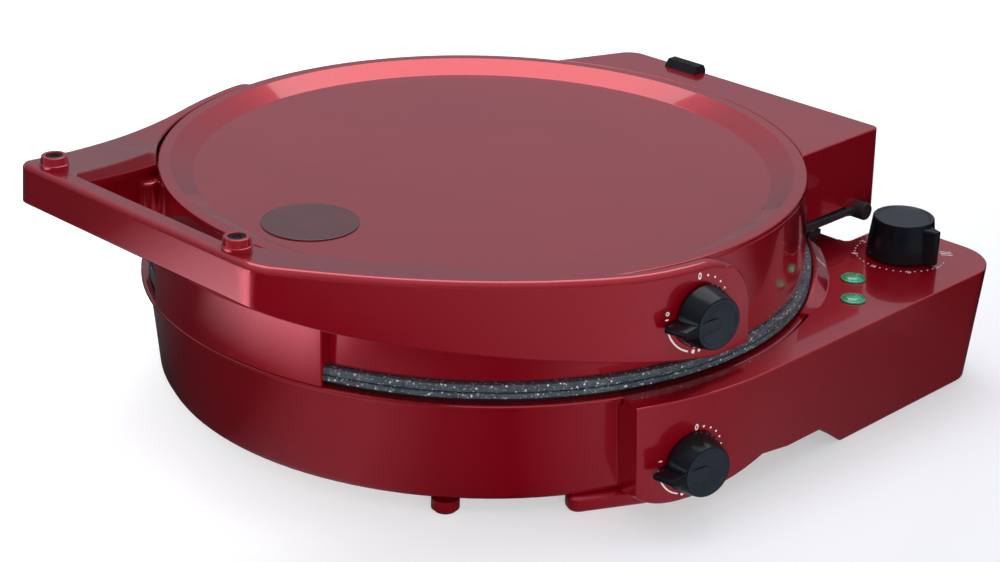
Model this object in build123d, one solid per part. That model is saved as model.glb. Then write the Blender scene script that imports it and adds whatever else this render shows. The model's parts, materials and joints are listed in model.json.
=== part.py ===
"""Electric pizza maker: a round countertop cooker with a hinged lid, in millimetres.

The dish centre is x = y = 0 while the pieces are made: -Y is the handle, +Y the hinge, +X the control arm
and +Z is up from the table. The finished pieces are then moved so that the origin is at the bottom centre.
"""

import math
import os

from build123d import *

os.makedirs("parts", exist_ok=True)

# Walls, fits and gaps
WALL = 2.5
FIT = 0.3
SHAFT_FIT = 0.05
PANEL_GAP = 0.6
EMBED = 1.2

# Lid ring, disc and skirt
LID_TOP = 122.5
RING_RADIUS = 170.0
CREST_WIDTH = 4.7
CREST_RADIUS = RING_RADIUS - CREST_WIDTH
CREST_ROUND = 2.0
SLOPE_WIDTH = 14.3
DISC_RADIUS = CREST_RADIUS - SLOPE_WIDTH
DISC_DEPTH = 6.5
LID_DRAFT = 3.0

# Handle frame
BAND_PROUD = 6.5
BAND_RADIUS = RING_RADIUS + BAND_PROUD
BAND_END_Y = 5.0
BAND_END_ROUND = 30.0
HANDLE_STAND_OFF = 61.2
HANDLE_REACH = RING_RADIUS + HANDLE_STAND_OFF
HANDLE_HALF_WIDTH = 88.0
HANDLE_CORNER = 14.0
HANDLE_RISE = 29.5
HANDLE_BAR_HEIGHT = 20.5
HANDLE_BAR_WIDTH = 12.2
RISE_START_Y = -40.0
RISE_BEND_Y = 106.2 - HANDLE_REACH
SWEEP_START_Y = -20.0
SWEEP_BEND_Y = 66.2 - HANDLE_REACH
SWEEP_BEND_Z = 92.0
FINGER_FRONT_HALF = HANDLE_HALF_WIDTH - 31.0
FINGER_REAR_HALF = HANDLE_HALF_WIDTH + 14.0
FINGER_REAR_Y = 97.2 - HANDLE_REACH
FINGER_CORNER = 8.0

# Front skirt of the lid
SKIRT_RADIUS = RING_RADIUS + 10.5
SKIRT_HALF_ANGLE = 20.5
SKIRT_TOP = LID_TOP - 26.5

# Hinge box and hinge
BOX_RIGHT = 114.0
HINGE_Y = RING_RADIUS + 10.0
BOX_REAR = HINGE_Y + 15.5
BOX_REAR_LEFT = -67.0
BOX_FRONT_LEFT = -83.0
BOX_FRONT_LEFT_Y = BOX_REAR - 43.5
BOX_LEFT_CORNER = 12.0
BOX_RIGHT_CORNER = 4.0
BOX_BOTTOM = 82.0
BOX_DRAFT = 1.2
LOBE_DROP = 6.5
LOBE_REAR_Y = BOX_REAR - 5.0
HINGE_HUB_RADIUS = 8.0
HINGE_PIN_RADIUS = 4.0
HINGE_ARM_WIDTH = 4.5
HINGE_ARM_PROUD = 1.6
HINGE_HUB_PROUD = 4.5
EAR_WIDTH = 8.0
EAR_X = BOX_RIGHT - 18.0
EAR_LEG_DEPTH = 8.0
EAR_LEG_REAR_GAP = 2.0

# Lid feet on the handle corners
LID_FOOT_X = HANDLE_HALF_WIDTH - 20.7
LID_FOOT_Y = 9.7 - HANDLE_REACH
LID_FOOT_RISE = 4.7
LID_FOOT_RADIUS = 5.9
LID_FOOT_BASE_RADIUS = 7.2
LID_RUBBER_RADIUS = 3.4

# Blank round plate on the disc
BADGE_Y = 30.6 - DISC_RADIUS
BADGE_RADIUS = 24.5
BADGE_THICKNESS = 0.6

# Cooking plates
RIM_RADIUS = RING_RADIUS + 6.0
RIM_HEIGHT = 4.2
RIM_WIDTH = 13.0
RIM_INNER_RADIUS = RIM_RADIUS - RIM_WIDTH
RIM_GAP = 0.4
PLATE_THICKNESS = 3.5
DISH_SLOPE = 5.5
PLATE_FLOOR_RADIUS = RIM_INNER_RADIUS - DISH_SLOPE
LOWER_DISH_DEPTH = 12.5
UPPER_DISH_DEPTH = 12.0
BASE_REAR_Y = HINGE_Y - 18.5
PLATE_REAR_Y = BASE_REAR_Y - 15.5
REFLECTOR_RADIUS = PLATE_FLOOR_RADIUS - 19.5
ELEMENT_RING_RADIUS = REFLECTOR_RADIUS - 33.0
ELEMENT_TUBE_RADIUS = 3.3
ELEMENT_END_GAP = 35.0
TERMINAL_RADIUS = 1.6
TERMINAL_LENGTH = 14.0
CLAMP_COUNT = 4
BOLT_COUNT = 4
BOLT_CIRCLE = ELEMENT_RING_RADIUS - 30.0
BOLT_RADIUS = 2.0
BOLT_HEAD_RADIUS = 4.0
BOLT_HEAD_HEIGHT = 2.6
BOSS_RADIUS = 5.5
BOSS_HEIGHT = 9.0
REFLECTOR_THICKNESS = 0.8

# Base bowl
BASE_RIM_RADIUS = RING_RADIUS + 10.0
BASE_RIM_TOP = 64.0
BASE_RIM_HEIGHT = 2.4
BASE_WALL_TOP_RADIUS = BASE_RIM_RADIUS - 3.8
BASE_WALL_FOOT_RADIUS = BASE_WALL_TOP_RADIUS - 5.4
BASE_BOTTOM = 7.0
BASE_FOOT_ROUND = 7.0
BASE_LEDGE_RADIUS = BASE_RIM_RADIUS - 12.5
BASE_FLANGE_RADIUS = BASE_WALL_FOOT_RADIUS - 20.8
REAR_DECK_LEFT = -(EAR_X + 10.0)
REAR_DECK_FRONT_Y = BASE_REAR_Y - 14.5
REAR_WING_BOTTOM = 40.0

# Control arm
DECK_TOP = BASE_RIM_TOP + 2.0
ARM_RIGHT = RING_RADIUS + 27.0
ARM_REAR = BOX_REAR + 10.0
ARM_INNER = BOX_RIGHT + 8.5
ARM_DRAFT = 5.2
ARM_REAR_CORNER = 27.0
ARM_SMALL_CORNER = 5.0
ARM_SEAM_RADIUS = BASE_RIM_RADIUS + 1.5
PANEL_ANGLE = 23.5
PANEL_EDGE_BOTTOM = 28.0
PANEL_LOBE_Y = -49.0
PANEL_LOBE_BOTTOM = 8.5
PANEL_WAIST_Y = 6.0
PANEL_WAIST_Z = 17.0
ARM_BELLY_Z = 14.0
ARM_BELLY_END_Y = 54.0
ARM_FOOT_START_Y = 74.0
ARM_COVER_THICKNESS = 2.5
ARM_COVER_RECESS = 1.5

# Thermostat knobs and shafts
KNOB_BASE_RADIUS = 16.4
KNOB_FACE_RADIUS = 13.7
KNOB_LENGTH = 12.5
KNOB_NOSE_REACH = 22.5
KNOB_NOSE_WIDTH = 6.0
KNOB_POINTER_CLOCK = 255.0
KNOB_SHAFT_RADIUS = 3.0
KNOB_SHAFT_DEPTH = 12.0
LOWER_KNOB_ANGLE = -13.65
LOWER_KNOB_Z = DECK_TOP - 35.3
UPPER_KNOB_ANGLE = -9.5
UPPER_KNOB_Z = LID_TOP - 25.0
THERMOSTAT_WIDTH = 26.0
THERMOSTAT_HEIGHT = 18.0
THERMOSTAT_DEPTH = 12.0
THERMOSTAT_NECK_RADIUS = 5.0

# Timer
TIMER_X = ARM_RIGHT - 44.0
TIMER_Y = ARM_REAR - 36.5
TIMER_KNOB_RADIUS = 19.0
TIMER_KNOB_TOP_RADIUS = 17.0
TIMER_KNOB_HEIGHT = 22.5
TIMER_NOSE_REACH = 24.0
TIMER_NOSE_WIDTH = 8.0
TIMER_NOSE_ANGLE = 9.0
TIMER_KNOB_GAP = 0.8
TIMER_BODY_WIDTH = 42.0
TIMER_BODY_HEIGHT = 30.0
TIMER_BELL_RADIUS = 15.0
TIMER_BELL_HEIGHT = 7.0

# Lamps
LAMP_PLACES = ((ARM_RIGHT - 40.8, TIMER_Y - 46.9), (ARM_RIGHT - 24.5, TIMER_Y - 68.9))
LAMP_RADIUS = 6.6
LAMP_DOME = 2.2
LAMP_STEM_RADIUS = 5.0
LAMP_STEM_LENGTH = 6.0
LAMP_HOLDER_RADIUS = 7.0
LAMP_HOLDER_LENGTH = 20.0

# Feet, covers, inlet and wiring parts
ROUND_FOOT_RADIUS = 7.0
ROUND_FOOT_INSET = 7.4
ROUND_FOOT_ANGLES = (-50.46, -129.54, 144.7)
FOOT_PAD_THICKNESS = 1.5
PANEL_FOOT_CORNERS = ((-7.6, -28.7), (4.1, -25.1), (10.3, -17.4), (-5.9, -15.7))
COVER_SCREW_COUNT = 6
COVER_SCREW_RADIUS = 2.0
COVER_SCREW_HEAD = 3.6
INLET_X = ARM_RIGHT - 37.0
INLET_Z = 24.0
INLET_RADIUS = 6.0
INLET_FLANGE_RADIUS = 9.0
INLET_BORE = 3.5
INLET_LENGTH = 18.0
TERMINAL_BLOCK_Y = 62.0
TERMINAL_BLOCK_SIZE = (13.0, 34.0, 14.0)
FUSE_RADIUS = 2.2
FUSE_LENGTH = 18.0
FUSE_PLACE = (-50.0, 30.0)
CABLE_CLAMP_X = -24.0
CABLE_CLAMP_WIDTH = 22.0
CABLE_CLAMP_HEIGHT = 20.0
CABLE_CLAMP_DEPTH = 2.0
CABLE_CLAMP_RISE = 4.2

# Heights that follow from the sizes above
RISE_TOP = LID_TOP + HANDLE_RISE
LID_FOOT_TOP = RISE_TOP + LID_FOOT_RISE
BAR_BOTTOM = RISE_TOP - HANDLE_BAR_HEIGHT
LOWER_RIM_BOTTOM = BASE_RIM_TOP + FIT
LOWER_RIM_TOP = LOWER_RIM_BOTTOM + RIM_HEIGHT
UPPER_RIM_BOTTOM = LOWER_RIM_TOP + RIM_GAP
UPPER_RIM_TOP = UPPER_RIM_BOTTOM + RIM_HEIGHT
SKIRT_BOTTOM = UPPER_RIM_TOP + FIT
DISC_TOP = LID_TOP - DISC_DEPTH
LOWER_FLOOR = LOWER_RIM_TOP - LOWER_DISH_DEPTH
UPPER_CEILING = UPPER_RIM_BOTTOM + UPPER_DISH_DEPTH
LOWER_PLATE_UNDERSIDE = LOWER_FLOOR - PLATE_THICKNESS
UPPER_PLATE_TOP = UPPER_CEILING + PLATE_THICKNESS
HINGE_Z = LID_FOOT_TOP / 2
DRAFT_SLOPE = math.tan(math.radians(LID_DRAFT))
BOX_SLOPE = math.tan(math.radians(BOX_DRAFT))
ARM_SLOPE = math.tan(math.radians(ARM_DRAFT))
EAR_LEG_Y = (BASE_REAR_Y - EAR_LEG_REAR_GAP - EAR_LEG_DEPTH, BASE_REAR_Y - EAR_LEG_REAR_GAP)
EAR_ARM_Z = HINGE_Z - 2.75
FAR = 300.0


def polar(radius, angle, z=0.0):
    """A point at a radius and an angle in degrees about the dish centre."""
    turn = math.radians(angle)
    return (radius * math.cos(turn), radius * math.sin(turn), z)


def revolved(points):
    """A solid turned about the vertical axis from its (radius, height) outline."""
    return revolve(Plane.XZ * make_face(Polyline(*points, close=True)), Axis.Z)


def disc(radius, bottom, top, x=0.0, y=0.0):
    """An upright cylinder between two heights."""
    return Pos(x, y, (bottom + top) / 2) * Cylinder(radius, top - bottom)


def slab(x_range, y_range, z_range):
    """A box given by its three ranges."""
    sizes = [high - low for low, high in (x_range, y_range, z_range)]
    centre = [(high + low) / 2 for low, high in (x_range, y_range, z_range)]
    return Pos(*centre) * Box(*sizes)


def inset_corners(corners, distance):
    """Moves each side of an anticlockwise outline of (x, y, radius) corners inwards by a distance."""
    count = len(corners)
    moved = []
    for index, (x, y, radius) in enumerate(corners):
        before = corners[index - 1]
        after = corners[(index + 1) % count]
        into = Vector(x - before[0], y - before[1], 0).normalized()
        out = Vector(after[0] - x, after[1] - y, 0).normalized()
        turn = into.X * out.Y - into.Y * out.X
        cosine = into.X * out.X + into.Y * out.Y
        along = distance * (1 - cosine) / turn
        new_x = x - into.Y * distance - into.X * along
        new_y = y + into.X * distance - into.Y * along
        new_radius = radius - distance * (1 if turn > 0 else -1)
        moved.append((new_x, new_y, max(new_radius, 0.6) if radius else 0.0))
    return moved


def outline_face(corners):
    """A flat face from an outline of (x, y, radius) corners, rounded where the radius is not zero."""
    count = len(corners)
    ends = []
    for index, (x, y, radius) in enumerate(corners):
        here = Vector(x, y, 0)
        before = corners[index - 1]
        after = corners[(index + 1) % count]
        into = (here - Vector(before[0], before[1], 0)).normalized()
        out = (Vector(after[0], after[1], 0) - here).normalized()
        if not radius:
            ends.append((here, None, here))
            continue
        half_turn = math.acos(max(-1.0, min(1.0, into.dot(out)))) / 2
        reach = radius * math.tan(half_turn)
        start = here - into * reach
        end = here + out * reach
        bisector = (out - into).normalized()
        middle = here + bisector * (radius / math.cos(half_turn) - radius)
        ends.append((start, middle, end))
    edges = []
    for index, (start, middle, end) in enumerate(ends):
        if middle is not None:
            edges.append(ThreePointArc(start, middle, end))
        edges.append(Line(end, ends[(index + 1) % count][0]))
    return make_face(edges)


def group(shapes):
    """Separate solids kept together as one piece."""
    return Compound([solid for shape in shapes for solid in shape.solids()])


def drafted(face_at, low, high, level, slope):
    """A solid between two heights whose sides spread downwards from their size at one level."""
    bottom = Pos(0, 0, low) * face_at(-(level - low) * slope)
    top = Pos(0, 0, high) * face_at(-(level - high) * slope)
    return loft([bottom, top], ruled=True)


def side_prism(edges, x_range=(-FAR, FAR)):
    """A solid with a side outline of (y, z) edges between two x places."""
    face = Plane.YZ * make_face(edges)
    return Pos(x_range[0], 0, 0) * extrude(face, x_range[1] - x_range[0])


def facing_out(radius, angle, z):
    """A plane at the place of a knob: its z points outwards and its x points up."""
    return Plane(origin=polar(radius, angle, z), x_dir=(0, 0, 1), z_dir=polar(1.0, angle))


def lid_wall_radius(z):
    """Outer radius of the lid wall at a height."""
    return RING_RADIUS + (LID_TOP - z) * DRAFT_SLOPE


def band_radius(z):
    """Outer radius of the handle band at a height."""
    return BAND_RADIUS + (LID_TOP - z) * DRAFT_SLOPE


def base_wall_radius(z):
    """Outer radius of the bowl wall at a height."""
    share = (z - BASE_BOTTOM) / (BASE_RIM_TOP - BASE_RIM_HEIGHT - BASE_BOTTOM)
    return BASE_WALL_FOOT_RADIUS + (BASE_WALL_TOP_RADIUS - BASE_WALL_FOOT_RADIUS) * share


def panel_radius(z):
    """Outer radius of the lower knob panel at a height."""
    return ARM_RIGHT - (DECK_TOP - z) * ARM_SLOPE


# Lid solids

def cup(inset, bottom):
    """The round of the lid as a solid, smaller by an inset, from its sunken disc to a height."""
    top = LID_TOP - inset
    low_disc = DISC_TOP - inset
    foot = lid_wall_radius(bottom) - inset
    shoulder = RING_RADIUS - inset
    points = [
        (0, bottom),
        (foot, bottom),
        (shoulder, top - CREST_ROUND),
        (shoulder - CREST_ROUND, top),
        (CREST_RADIUS - CREST_ROUND, top),
        (DISC_RADIUS, low_disc),
        (0, low_disc),
    ]
    return revolved(points)


def band_face(inset):
    """Plan of the handle frame: two straight arms tangent to the round, and the front bar."""
    radius = BAND_RADIUS - inset
    front = -(HANDLE_REACH - inset)
    corner = max(HANDLE_CORNER - inset, 1.0)
    reach = math.hypot(HANDLE_HALF_WIDTH, HANDLE_REACH)
    tangent_angle = math.atan2(-HANDLE_REACH, HANDLE_HALF_WIDTH) + math.acos(BAND_RADIUS / reach)
    side = Vector(math.sin(tangent_angle), -math.cos(tangent_angle), 0)
    tangent = Vector(math.cos(tangent_angle), math.sin(tangent_angle), 0) * radius
    meet = tangent + side * ((front - tangent.Y) / side.Y)
    half_turn = math.acos(side.dot(Vector(-1, 0, 0))) / 2
    length = corner * math.tan(half_turn)
    start = meet - side * length
    end = meet + Vector(-length, 0, 0)
    inward = (Vector(-1, 0, 0) - side).normalized()
    middle = meet + inward * (corner / math.cos(half_turn) - corner)
    right = [tangent, start, middle, end]
    left = [Vector(-point.X, point.Y, 0) for point in right]
    edges = [
        Line(left[0], left[1]),
        ThreePointArc(left[1], left[2], left[3]),
        Line(left[3], right[3]),
        ThreePointArc(right[3], right[2], right[1]),
        Line(right[1], right[0]),
        ThreePointArc(right[0], Vector(0, radius, 0), left[0]),
    ]
    return make_face(edges)


def band_side(drop, rear_inset, bottom_drop):
    """Side outline of the handle frame, lowered at its top and its bottom by the given amounts."""
    top = LID_TOP - drop
    rear = BAND_END_Y - rear_inset
    low = SKIRT_BOTTOM - bottom_drop
    round_end = BAND_END_ROUND - rear_inset
    front = -(HANDLE_REACH + WALL)
    eased = round_end * (1 - math.cos(math.pi / 4))
    round_middle = (rear - eased, top - eased)
    return [
        Line((front, RISE_TOP - drop), (-HANDLE_REACH, RISE_TOP - drop)),
        Bezier((-HANDLE_REACH, RISE_TOP - drop), (RISE_BEND_Y, top), (RISE_START_Y, top)),
        Line((RISE_START_Y, top), (rear - round_end, top)),
        ThreePointArc((rear - round_end, top), round_middle, (rear, top - round_end)),
        Line((rear, top - round_end), (rear, low)),
        Line((rear, low), (SWEEP_START_Y, low)),
        Bezier(
            (SWEEP_START_Y, low),
            (SWEEP_BEND_Y, SWEEP_BEND_Z - bottom_drop),
            (-HANDLE_REACH, BAR_BOTTOM - bottom_drop),
        ),
        Line((-HANDLE_REACH, BAR_BOTTOM - bottom_drop), (front, BAR_BOTTOM - bottom_drop)),
        Line((front, BAR_BOTTOM - bottom_drop), (front, RISE_TOP - drop)),
    ]


def finger_corners():
    """Plan of the gap behind the front bar, before the round of the lid is taken from it."""
    front = -(HANDLE_REACH - HANDLE_BAR_WIDTH)
    return [
        (-FINGER_FRONT_HALF, front, FINGER_CORNER),
        (FINGER_FRONT_HALF, front, FINGER_CORNER),
        (FINGER_REAR_HALF, FINGER_REAR_Y, 0.0),
        (0.0, FINGER_REAR_Y / 2, 0.0),
        (-FINGER_REAR_HALF, FINGER_REAR_Y, 0.0),
    ]


def box_corners():
    """Plan of the hinge box."""
    slant = (BOX_REAR_LEFT - BOX_FRONT_LEFT) / (BOX_REAR - BOX_FRONT_LEFT_Y)
    inside_y = BOX_FRONT_LEFT_Y / 2
    inside_x = BOX_FRONT_LEFT - slant * (BOX_FRONT_LEFT_Y - inside_y)
    return [
        (inside_x, inside_y, 0.0),
        (BOX_RIGHT, inside_y, 0.0),
        (BOX_RIGHT, BOX_REAR, BOX_RIGHT_CORNER),
        (BOX_REAR_LEFT, BOX_REAR, BOX_LEFT_CORNER),
    ]


def box_side(drop):
    """Side outline of the hinge box with the lobe behind the hinge hubs."""
    lobe_front = HINGE_Y
    lobe_bottom = HINGE_Z - LOBE_DROP
    rear = BOX_REAR + WALL
    return [
        Line((BOX_FRONT_LEFT_Y / 3, BOX_BOTTOM), (lobe_front - LOBE_DROP, BOX_BOTTOM)),
        Line((lobe_front - LOBE_DROP, BOX_BOTTOM), (lobe_front, lobe_bottom)),
        Line((lobe_front, lobe_bottom), (LOBE_REAR_Y, lobe_bottom)),
        Line((LOBE_REAR_Y, lobe_bottom), (rear, BOX_BOTTOM)),
        Line((rear, BOX_BOTTOM), (rear, LID_TOP - drop)),
        Line((rear, LID_TOP - drop), (BOX_FRONT_LEFT_Y / 3, LID_TOP - drop)),
        Line((BOX_FRONT_LEFT_Y / 3, LID_TOP - drop), (BOX_FRONT_LEFT_Y / 3, BOX_BOTTOM)),
    ]


def cup_body(inset=0.0):
    """The round of the lid down to the skirt edge."""
    return cup(inset, SKIRT_BOTTOM)


def band_solid(inset, drop, rear_inset, bottom_drop):
    """The handle frame as a solid, within its plan and its side outline."""
    low = SKIRT_BOTTOM - bottom_drop - 1
    plan = drafted(lambda d: band_face(d + inset), low, RISE_TOP + 5, LID_TOP, DRAFT_SLOPE)
    return plan & side_prism(band_side(drop, rear_inset, bottom_drop))


def outside_of_cup(solid, clearance=0.0):
    """A solid without what lies within the round of the lid, drawn upwards past the ring."""
    low = -WALL
    shoulder = LID_TOP - CREST_ROUND
    core = [
        (0, low),
        (lid_wall_radius(low) + clearance, low),
        (RING_RADIUS + clearance, shoulder),
    ]
    if clearance < 0:
        core.append((RING_RADIUS, shoulder))
    core += [(RING_RADIUS + max(clearance, 0.0), RISE_TOP + 20), (0, RISE_TOP + 20)]
    return solid - revolved(core)


def make_lid_shell():
    """Ring, disc, wall, handle frame and hinge box as one hollow moulding."""
    finger_gap = outside_of_cup(
        Pos(0, 0, BASE_RIM_TOP) * extrude(outline_face(finger_corners()), RISE_TOP)
    )
    round_outer = cup_body()
    round_inner = cup(WALL, SKIRT_BOTTOM - 1)
    band_outer = outside_of_cup(band_solid(0.0, 0.0, 0.0, 0.0), -EMBED) - finger_gap
    walled_gap = Pos(0, 0, BASE_RIM_TOP) * extrude(
        outline_face(inset_corners(finger_corners(), -WALL)), RISE_TOP
    )
    band_inner = outside_of_cup(band_solid(WALL, WALL, WALL, FAR / 3)) - walled_gap
    box_plan = drafted(lambda d: outline_face(inset_corners(box_corners(), d)),
                       HINGE_Z - 2 * LOBE_DROP, LID_TOP + 1, LID_TOP, BOX_SLOPE)
    box_outer = box_plan & side_prism(box_side(0.0))
    inner_plan = drafted(lambda d: outline_face(inset_corners(box_corners(), d + WALL)),
                         HINGE_Z - 2 * LOBE_DROP, LID_TOP + 1, LID_TOP, BOX_SLOPE)
    box_inner = inner_plan & slab((-FAR, FAR), (0, FAR), (HINGE_Z - 2 * LOBE_DROP, LID_TOP - WALL))
    hub_notch = Pos(0, HINGE_Y, HINGE_Z) * Rot(0, 90, 0) * Cylinder(HINGE_HUB_RADIUS + FIT, 2 * FAR)
    notch_mouth = slab((-FAR, FAR), (HINGE_Y - HINGE_HUB_RADIUS - FIT, HINGE_Y), (0, HINGE_Z))
    notch_slope = slab((-FAR, FAR), (HINGE_Y, HINGE_Y + HINGE_HUB_RADIUS / 2), (0, HINGE_Z - LOBE_DROP / 2))
    ear_half = EAR_WIDTH / 2 + 2 * FIT
    ear_room = slab((EAR_X - ear_half, EAR_X + ear_half), (HINGE_Y + HINGE_HUB_RADIUS / 2, FAR),
                    (0, BOX_BOTTOM))
    shell = round_outer + band_outer + outside_of_cup(box_outer, -EMBED)
    shell -= round_inner
    shell -= band_inner
    shell -= outside_of_cup(box_inner)
    shell -= hub_notch
    shell -= notch_mouth
    shell -= notch_slope
    shell -= ear_room
    shaft_hole = facing_out(0, UPPER_KNOB_ANGLE, UPPER_KNOB_Z) * Pos(0, 0, BAND_RADIUS) * Cylinder(
        KNOB_SHAFT_RADIUS + FIT, 6 * BOSS_HEIGHT
    )
    shell -= shaft_hole
    return shell


def make_front_skirt():
    """The deeper piece under the handle, fixed to the front of the lid wall."""
    bottom = BASE_RIM_TOP + 2 * FIT
    points = [
        (lid_wall_radius(SKIRT_TOP - WALL) + FIT, SKIRT_TOP - WALL),
        (SKIRT_RADIUS - WALL, SKIRT_TOP - WALL),
        (SKIRT_RADIUS - WALL, bottom),
        (SKIRT_RADIUS, bottom),
        (SKIRT_RADIUS, SKIRT_TOP - 1),
        (SKIRT_RADIUS - 1, SKIRT_TOP),
        (lid_wall_radius(SKIRT_TOP) + FIT, SKIRT_TOP),
    ]
    face = Plane.XZ * make_face(Polyline(*points, close=True))
    start = Rot(0, 0, -90 - SKIRT_HALF_ANGLE) * face
    skirt = revolve(start, Axis.Z, revolution_arc=2 * SKIRT_HALF_ANGLE)
    webs = []
    for angle in (-90 - SKIRT_HALF_ANGLE + 0.45, -90, -90 + SKIRT_HALF_ANGLE - 0.45):
        web = slab((lid_wall_radius(SKIRT_BOTTOM) + FIT, SKIRT_RADIUS - WALL / 2), (-1.2, 1.2),
                   (SKIRT_BOTTOM + FIT, SKIRT_TOP - WALL / 2))
        webs.append(Rot(0, 0, angle) * web)
    sector = revolve(
        Rot(0, 0, -90 - SKIRT_HALF_ANGLE) * (Plane.XZ * make_face(Polyline(
            (RING_RADIUS, bottom), (SKIRT_RADIUS, bottom),
            (SKIRT_RADIUS, SKIRT_TOP), (RING_RADIUS, SKIRT_TOP), close=True))),
        Axis.Z, revolution_arc=2 * SKIRT_HALF_ANGLE)
    for web in webs:
        skirt += web & sector
    return skirt


def make_handle_cover():
    """The plate that closes the hollow handle frame from below."""
    inset = WALL + FIT
    inside = drafted(lambda d: band_face(d + inset), SKIRT_BOTTOM - 5, RISE_TOP + 5, LID_TOP, DRAFT_SLOPE)
    strip = side_prism(cover_side()) & inside
    walled_gap = Pos(0, 0, BASE_RIM_TOP) * extrude(
        outline_face(inset_corners(finger_corners(), -(WALL + FIT))), RISE_TOP
    )
    return outside_of_cup(strip - walled_gap, FIT)


def cover_side():
    """Side outline of the handle cover: a strip just above the lower edge of the handle frame."""
    low = SKIRT_BOTTOM + 1
    rear = SWEEP_START_Y
    raised = 0.5
    front = -(HANDLE_REACH + WALL)
    lift = raised + 2.0
    return [
        Bezier((rear, low), (SWEEP_BEND_Y, SWEEP_BEND_Z + raised), (-HANDLE_REACH, BAR_BOTTOM + raised)),
        Line((-HANDLE_REACH, BAR_BOTTOM + raised), (front, BAR_BOTTOM + raised)),
        Line((front, BAR_BOTTOM + raised), (front, BAR_BOTTOM + lift)),
        Line((front, BAR_BOTTOM + lift), (-HANDLE_REACH, BAR_BOTTOM + lift)),
        Bezier((-HANDLE_REACH, BAR_BOTTOM + lift), (SWEEP_BEND_Y, SWEEP_BEND_Z + lift), (rear, low + 2.0)),
        Line((rear, low + 2.0), (rear, low)),
    ]


def make_lid_feet():
    """Red collars and their rubber inserts, one pair for each corner of the handle."""
    handle = band_solid(0.0, 0.0, 0.0, 0.0)
    collars = []
    rubbers = []
    rubber_seat = RISE_TOP + 1.0
    for side in (-1, 1):
        foot = Pos(side * LID_FOOT_X, LID_FOOT_Y, 0)
        low = RISE_TOP - 2 * LID_FOOT_RADIUS
        profile = [
            (0, low),
            (LID_FOOT_BASE_RADIUS, low),
            (LID_FOOT_BASE_RADIUS, RISE_TOP - 0.6),
            (LID_FOOT_RADIUS, LID_FOOT_TOP - 0.8),
            (LID_FOOT_RADIUS - 0.8, LID_FOOT_TOP - 0.3),
            (0, LID_FOOT_TOP - 0.3),
        ]
        reach = 2 * LID_FOOT_BASE_RADIUS
        near = slab((-reach, reach), (-reach, reach), (low - 1, RISE_TOP + LID_FOOT_RISE))
        collar = foot * revolved(profile) - Pos(0, 0, SHAFT_FIT) * (handle & (foot * near))
        collar -= foot * disc(LID_RUBBER_RADIUS + SHAFT_FIT, rubber_seat, LID_FOOT_TOP + 1)
        collars.append(collar)
        rubbers.append(foot * disc(LID_RUBBER_RADIUS, rubber_seat, LID_FOOT_TOP))
    return group(collars), group(rubbers)


def make_badge():
    """The blank round plate on the sunken disc."""
    return disc(BADGE_RADIUS, DISC_TOP, DISC_TOP + BADGE_THICKNESS, 0, BADGE_Y)


# Cooking plates and heating

def plate_points(rim_face, side):
    """Outline of a dish: its rim face touches the other plate and its floor lies away from it."""
    back = rim_face + side * RIM_HEIGHT
    depth = LOWER_DISH_DEPTH if side < 0 else UPPER_DISH_DEPTH
    floor = rim_face + side * depth
    outside = floor + side * PLATE_THICKNESS
    return [
        (0, floor),
        (PLATE_FLOOR_RADIUS, floor),
        (RIM_INNER_RADIUS, rim_face),
        (RIM_RADIUS - 0.8, rim_face),
        (RIM_RADIUS, rim_face + side * 0.8),
        (RIM_RADIUS, back),
        (RIM_INNER_RADIUS + PLATE_THICKNESS / 2, back),
        (PLATE_FLOOR_RADIUS + PLATE_THICKNESS, outside),
        (0, outside),
    ]


def bolt_angles():
    """Places of the plate bolts around the dish."""
    return [45 + 360 / BOLT_COUNT * index for index in range(BOLT_COUNT)]


def make_plate(rim_face, side):
    """One cast plate with its bolt bosses on the back and its straight rear edge."""
    plate = revolved(plate_points(rim_face, side))
    depth = LOWER_DISH_DEPTH if side < 0 else UPPER_DISH_DEPTH
    back = rim_face + side * (depth + PLATE_THICKNESS)
    plate -= slab((-FAR, FAR), (PLATE_REAR_Y, FAR), (0, FAR))
    rear_low, rear_high = sorted((back, rim_face))
    floor_low, floor_high = sorted((back - side * PLATE_THICKNESS, rim_face))
    rear_wall = slab((-FAR, FAR), (PLATE_REAR_Y - PLATE_THICKNESS, PLATE_REAR_Y), (rear_low, rear_high))
    plate += rear_wall & revolved([(0, rear_low), (PLATE_FLOOR_RADIUS + PLATE_THICKNESS / 2, rear_low),
                                   (PLATE_FLOOR_RADIUS + PLATE_THICKNESS / 2, rear_high), (0, rear_high)])
    for angle in bolt_angles():
        x, y, _ = polar(BOLT_CIRCLE, angle)
        low, high = sorted((back, back + side * BOSS_HEIGHT))
        plate += disc(BOSS_RADIUS, low, high, x, y)
        plate -= disc(BOLT_RADIUS + SHAFT_FIT, *sorted((back, back + side * (BOSS_HEIGHT + 1))), x, y)
    return plate


def make_bolts(back, side):
    """Bolts that hold the reflector to the bosses of a plate."""
    solids = []
    face = back + side * (BOSS_HEIGHT + REFLECTOR_THICKNESS)
    for angle in bolt_angles():
        x, y, _ = polar(BOLT_CIRCLE, angle)
        bolt = disc(BOLT_RADIUS, *sorted((back + side * 1.0, face + side * 0.5)), x, y)
        bolt += disc(BOLT_HEAD_RADIUS, *sorted((face, face + side * BOLT_HEAD_HEIGHT)), x, y)
        solids.append(bolt)
    return group(solids)


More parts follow.
